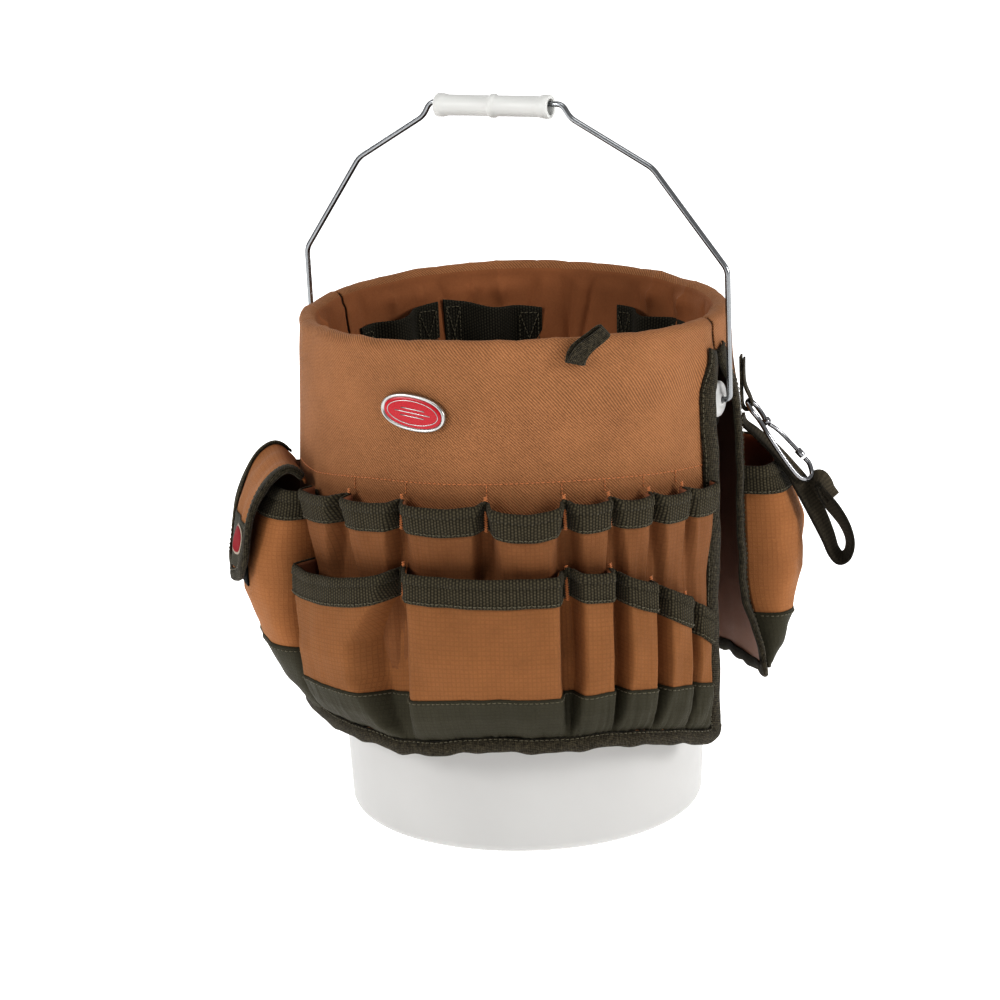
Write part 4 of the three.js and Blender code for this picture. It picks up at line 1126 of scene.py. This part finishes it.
BADGE_AZ, BADGE_R, BADGE_Z, BADGE_TILT = -26.3, 159.6, 329.0, -7
BADGE_WIDE, BADGE_HIGH, BADGE_SIDES, BADGE_SQUARENESS = 24.6, 12.9, 96, 0.9
# Profiles from the edge to the middle: how far in, and how high.
BADGE_RIM = [(0, -1.2), (0, 1.0), (0.25, 1.7), (0.9, 2.1), (1.6, 2.1), (2.2, 1.6), (2.4, 1.2), (12.2, 1.2)]
BADGE_FACE = [(2.5, 0.2), (2.5, 1.25), (2.8, 1.45), (5, 1.6), (9, 1.75), (12.3, 1.8)]


def on_badge(x, y, rise):
    """A point on the badge: x along it, y up it, and how far it stands out."""
    out, right = directions(BADGE_AZ)
    tilt = math.radians(BADGE_TILT)
    along = right * math.cos(tilt) + UP * math.sin(tilt)
    up = UP * math.cos(tilt) - right * math.sin(tilt)
    return place(BADGE_AZ, 0, BADGE_R, BADGE_Z) + (along * x + up * y + out * rise) * MM


def badge_disc(name, profile, material, slot, node):
    """A slightly squared oval disc."""
    rows = []
    for k in range(BADGE_SIDES):
        c, s = math.cos(TAU * k / BADGE_SIDES), math.sin(TAU * k / BADGE_SIDES)
        x, y = (math.copysign(abs(v) ** BADGE_SQUARENESS, v) for v in (c, s))
        rows += [tuple(on_badge(x * (BADGE_WIDE - inset), y * (BADGE_HIGH - inset), rise))
                 for inset, rise in profile]
    count = len(profile)
    faces = grid_faces(BADGE_SIDES, count, True)
    faces.append(tuple(i * count + count - 1 for i in range(BADGE_SIDES)))
    obj = make_mesh(name, np.array(rows), faces, material)
    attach(obj, "carrier")
    dress(obj, slot, node)


def make_badge():
    """A red oval in a metal rim, with a plain oval line and three plain bars."""
    badge_disc("badge_rim", BADGE_RIM, BADGE_METAL, "plated_steel", "badge_frame")
    badge_disc("badge_face", BADGE_FACE, ENAMEL, "red_enamel", "badge_plate")
    turns = [TAU * k / 90 for k in range(90)]
    oval_line = [on_badge(math.cos(turn) * 19.4, math.sin(turn) * 8.2, 1.62) for turn in turns]
    rod("badge_line", oval_line, 0.34, BADGE_METAL, "carrier", 8, closed=True)
    for k, (y, half) in enumerate(((2.6, 9.0), (0.0, 13.5), (-2.6, 9.0))):
        bar = [on_badge(x, y, 1.72) for x in np.arange(-half, half + 1, 4.5)]
        rod("badge_bar_%d" % (k + 1), bar, 0.42, BADGE_METAL, "carrier", 8)


# ------------------------------------------------------------------ strap and snap hook
STRAP_AZ, SKIRT_AT, STRAP_HALF = 79.0, 163.7, 8.6
HOOK_TOP, HOOK_BOTTOM = (169, 305.6), (216, 245.5)
HOOK_WIRE, GATE_WIRE = 1.75, 1.45
# Along the hook and across it.
HOOK_LINE = [(20, 3.4), (15, 5.4), (8, 6), (2.4, 3.6), (1.4, 0), (2.4, -3.6), (8, -6), (15, -5.8), (22, -7.4),
             (30, -9.6), (52, -9.6), (66, -8.2), (72.5, -3), (72.5, 4), (66, 9), (60.5, 9.4)]
GATE_LINE = [(24.5, 3.6), (30, 7.4), (38, 9.4), (48, 9.4), (57.6, 9.4)]
GATE_SLEEVE = [(1.4, 0), (2.3, 0.1), (2.6, 0.6), (2.6, 5.6), (2.3, 6.3), (1.4, 6.4)]
GATE_PIVOT = [(0.01, -2.6), (2.2, -2.5), (2.6, -1.9), (2.6, 1.9), (2.2, 2.5), (0.01, 2.6)]
# Out from the skirt, and up.
TAB_LINE = [(1.2, 338), (1.4, 322), (1.8, 307), (2.3, 301.5), (4.6, 298.4), (7.9, 299.2), (9.0, 303.4),
            (7.2, 309), (4.6, 315), (3.4, 322), (3.3, 336)]
# Out from the axis, up, and how far the strap is turned on its own line, in degrees.
STRAP_LINE = [(165.6, 294, 0), (167.5, 288, 1), (175, 281.6, 5), (188, 269.5, 12), (200.5, 254.5, 20),
              (210.5, 239.5, 34), (220, 221, 32), (227, 205, 24), (231, 194, 18), (236, 188.5, 16),
              (241.5, 192, 18), (243, 202, 24), (239, 214, 32), (231, 226, 40), (222.5, 236, 40),
              (219.2, 240.6, 38), (217.6, 245.6, 36), (221.0, 247.4, 34), (224.4, 243.2, 34),
              (226.2, 238.2, 36), (229.8, 232.6, 38)]


def on_hook(along, across, lift=0.0):
    """A point on the hook, whose plane turns along its length."""
    (r0, z0), (r1, z1) = HOOK_TOP, HOOK_BOTTOM
    length = math.hypot(r1 - r0, z1 - z0)
    er, ez = (r1 - r0) / length, (z1 - z0) / length
    s = min(max((along - 20) / 50, 0), 1)
    tilt = math.radians(10 + 20 * s * s * (3 - 2 * s))
    out = across * math.sin(tilt) + lift * math.cos(tilt)
    t = across * math.cos(tilt) - lift * math.sin(tilt)
    return place(STRAP_AZ, t, r0 + er * along - ez * out, z0 + ez * along + er * out)


def make_hook():
    for name, line, radius, body, node in (("snap_hook_wire", HOOK_LINE, HOOK_WIRE, "strap", "snap_hook"),
                                           ("snap_gate_wire", GATE_LINE, GATE_WIRE, "gate", "snap_gate")):
        path = smooth_path([on_hook(*p) for p in line], 7)
        dress(rod(name, path, radius, NICKEL, body), "plated_steel", node)
    start, pivot = on_hook(52.2, 9.4), on_hook(21.5, 3.4)
    sleeve_axis, pivot_axis = on_hook(58.6, 9.4) - start, on_hook(21.5, 3.4, 1) - pivot
    dress(lathe("snap_gate_sleeve", GATE_SLEEVE, NICKEL, start, sleeve_axis, "gate", 28), "plated_steel")
    dress(lathe("snap_gate_pivot", GATE_PIVOT, NICKEL, pivot, pivot_axis, "strap", 24, closed=False),
          "plated_steel")


def make_hook_tab():
    line = smooth_path([(SKIRT_AT + x, 0, z) for x, z in TAB_LINE], 6)
    rows = []
    for i, p in enumerate(line):
        half = 5.6 - 2.2 * math.exp(-((i / (len(line) - 1) - 0.5) / 0.22) ** 2)
        rows.append([tuple(place(STRAP_AZ, k * half, p.x, p.z)) for k in np.linspace(1, -1, 7)])
    tab = cloth("hook_tab", np.array(rows), TAPE, 1.3, offset=0)
    dress(tab, "olive_webbing", "hook_loop")
    return tab


def make_tape_strap():
    line = smooth_path([(r, tilt, z) for r, z, tilt in STRAP_LINE], 6)
    rows = []
    for i, p in enumerate(line):
        before, after = line[max(i - 1, 0)], line[min(i + 1, len(line) - 1)]
        length = math.hypot(after.x - before.x, after.z - before.z)
        nr, nz = (after.z - before.z) / length, -(after.x - before.x) / length
        tilt = math.radians(p.y)
        out = -STRAP_HALF * math.sin(tilt)
        centre = place(STRAP_AZ, 0, p.x, p.z)
        half = place(STRAP_AZ, STRAP_HALF * math.cos(tilt), p.x + nr * out, p.z + nz * out) - centre
        rows.append([tuple(centre + half * k) for k in np.linspace(-1, 1, 9)])
    points = np.array(rows)
    strap = cloth("hanging_strap", points, STRAP, 1.7, "strap", lengths_uv(points)[..., ::-1].copy(), 0)
    dress(strap, "olive_webbing", "tape_strap")


# ------------------------------------------------------------------ build it all
make_pail()
make_bail()
wraps = {side: make_wrap(side) for side in ("front", "rear")}

orange = Stitches("orange_stitching", ORANGE)
olive = Stitches("olive_stitching", OLIVE_THREAD)
tacks = Stitches("bar_tacks", ORANGE)
flap_olive = Stitches("flap_stitching", OLIVE_THREAD, "flap")


def numbered(name, count):
    return ["%s_%d" % (name, i + 1) for i in range(count)]


for side, upper, lower in (("front", front_upper, front_lower), ("rear", rear_upper, rear_lower)):
    add_row(side, "upper", upper, UPPER_FOOT, numbered("%s_sleeve" % side, len(upper)), SLEEVE)
    add_row(side, "lower", lower, POCKET_FOOT, numbered("%s_pocket" % side, len(lower)), POCKET)
for side, pockets, seams in (("front", front_lower, FRONT_SEAMS), ("rear", rear_lower, REAR_SEAMS)):
    boot_band(side, pockets)
    make_binding(side)
    make_seam(side, seams)

phone = Pouch("front", -95.2, -63.5, 45, 0, PHONE_ROWS, 200)
holster = Pouch("rear", -106.7, -71.8, 44, 1.4, HOLSTER_ROWS, 230)
make_pouch("phone_pouch_cloth", phone, "phone_pouch")
make_pouch("holster_cloth", holster, "drill_holster")
make_flap(phone)
for i, loop in enumerate(LOOPS):
    make_hammer_loop(i + 1, *loop)
tabs = {"front": make_rim_tab(), "rear": make_hook_tab()}
make_badge()
make_hook()
make_tape_strap()
for s in (orange, olive, tacks, flap_olive):
    s.make()

# ------------------------------------------------------------------ floor, light and camera
# The floor reaches so far that its edge stays out of sight, just below the base.
FLOOR_REACH, FLOOR_Z, FLOOR_GLOW, FLOOR_COUNT = 300, -0.0005, 0.56, 9
floor_nodes = Nodes("floor", rough=0.9, specular=0.1)
floor_nodes.bsdf.inputs["Emission Color"].default_value = (1, 1, 1, 1)
floor_nodes.bsdf.inputs["Emission Strength"].default_value = FLOOR_GLOW
clouds = floor_nodes.shades(floor_nodes.noise(1.2, 2, 0.5), (1, 1, 1, 1), (0.2, 0.93), (0.8, 0.95))
floor_nodes.plug(clouds, floor_nodes.bsdf.inputs["Base Color"])
places = np.linspace(-FLOOR_REACH, FLOOR_REACH, FLOOR_COUNT)
floor = make_mesh("floor", [(x, y, FLOOR_Z) for x in places for y in places],
                  grid_faces(FLOOR_COUNT, FLOOR_COUNT), floor_nodes.mat)

WORLD_STRENGTH = 0.32
world = bpy.data.worlds.new("studio")
bpy.context.scene.world = world
world.use_nodes = True
background = world.node_tree.nodes["Background"]
background.inputs["Color"].default_value = (1.0, 1.0, 1.0, 1)
background.inputs["Strength"].default_value = WORLD_STRENGTH

# Name, place and aim in metres, width in metres, watts.
LIGHTS = [("left", (-2.0, -1.3, 1.3), (0, 0, 0.25), 0.7, 19),
          ("right", (2.1, -1.0, 1.1), (0, 0, 0.25), 0.7, 22),
          ("back", (-1.0, 2.3, 1.3), (0, 0, 0.25), 1.0, 10),
          ("top", (0.0, -0.5, 2.2), (0, 0, 0.3), 1.0, 6)]
for name, at, aim, width, power in LIGHTS:
    light = bpy.data.lights.new(name, "AREA")
    light.size = width
    light.energy = power
    lamp = bpy.data.objects.new(name, light)
    lamp.location = at
    lamp.rotation_euler = (Vector(aim) - Vector(at)).to_track_quat("-Z", "Y").to_euler()
    bpy.context.scene.collection.objects.link(lamp)

# The camera stands in front, a little above the rim, and looks down; angles are in degrees.
CAMERA_AT = (0.0, -2.1394, 0.7974)
CAMERA_PITCH, CAMERA_YAW, CAMERA_ROLL = 14.919, -0.3853, -1.7646
CAMERA_LENS, CAMERA_SENSOR = 108.0, 36
camera = bpy.data.cameras.new("camera")
camera.lens = CAMERA_LENS
camera.sensor_width = CAMERA_SENSOR
cam = bpy.data.objects.new("camera", camera)
bpy.context.scene.collection.objects.link(cam)
pitch, yaw, roll = (math.radians(angle) for angle in (CAMERA_PITCH, CAMERA_YAW, CAMERA_ROLL))
look = Vector((math.sin(yaw) * math.cos(pitch), math.cos(yaw) * math.cos(pitch), -math.sin(pitch)))
level = Vector((math.cos(yaw), -math.sin(yaw), 0))
above = level.cross(look)
right = level * math.cos(roll) + above * math.sin(roll)
up = above * math.cos(roll) - level * math.sin(roll)
cam.matrix_world = Matrix((
    (right.x, up.x, -look.x, CAMERA_AT[0]),
    (right.y, up.y, -look.y, CAMERA_AT[1]),
    (right.z, up.z, -look.z, CAMERA_AT[2]),
    (0, 0, 0, 1)))
bpy.context.scene.camera = cam
bpy.context.scene.view_settings.view_transform = "Standard"
bpy.context.scene.view_settings.look = "High Contrast"
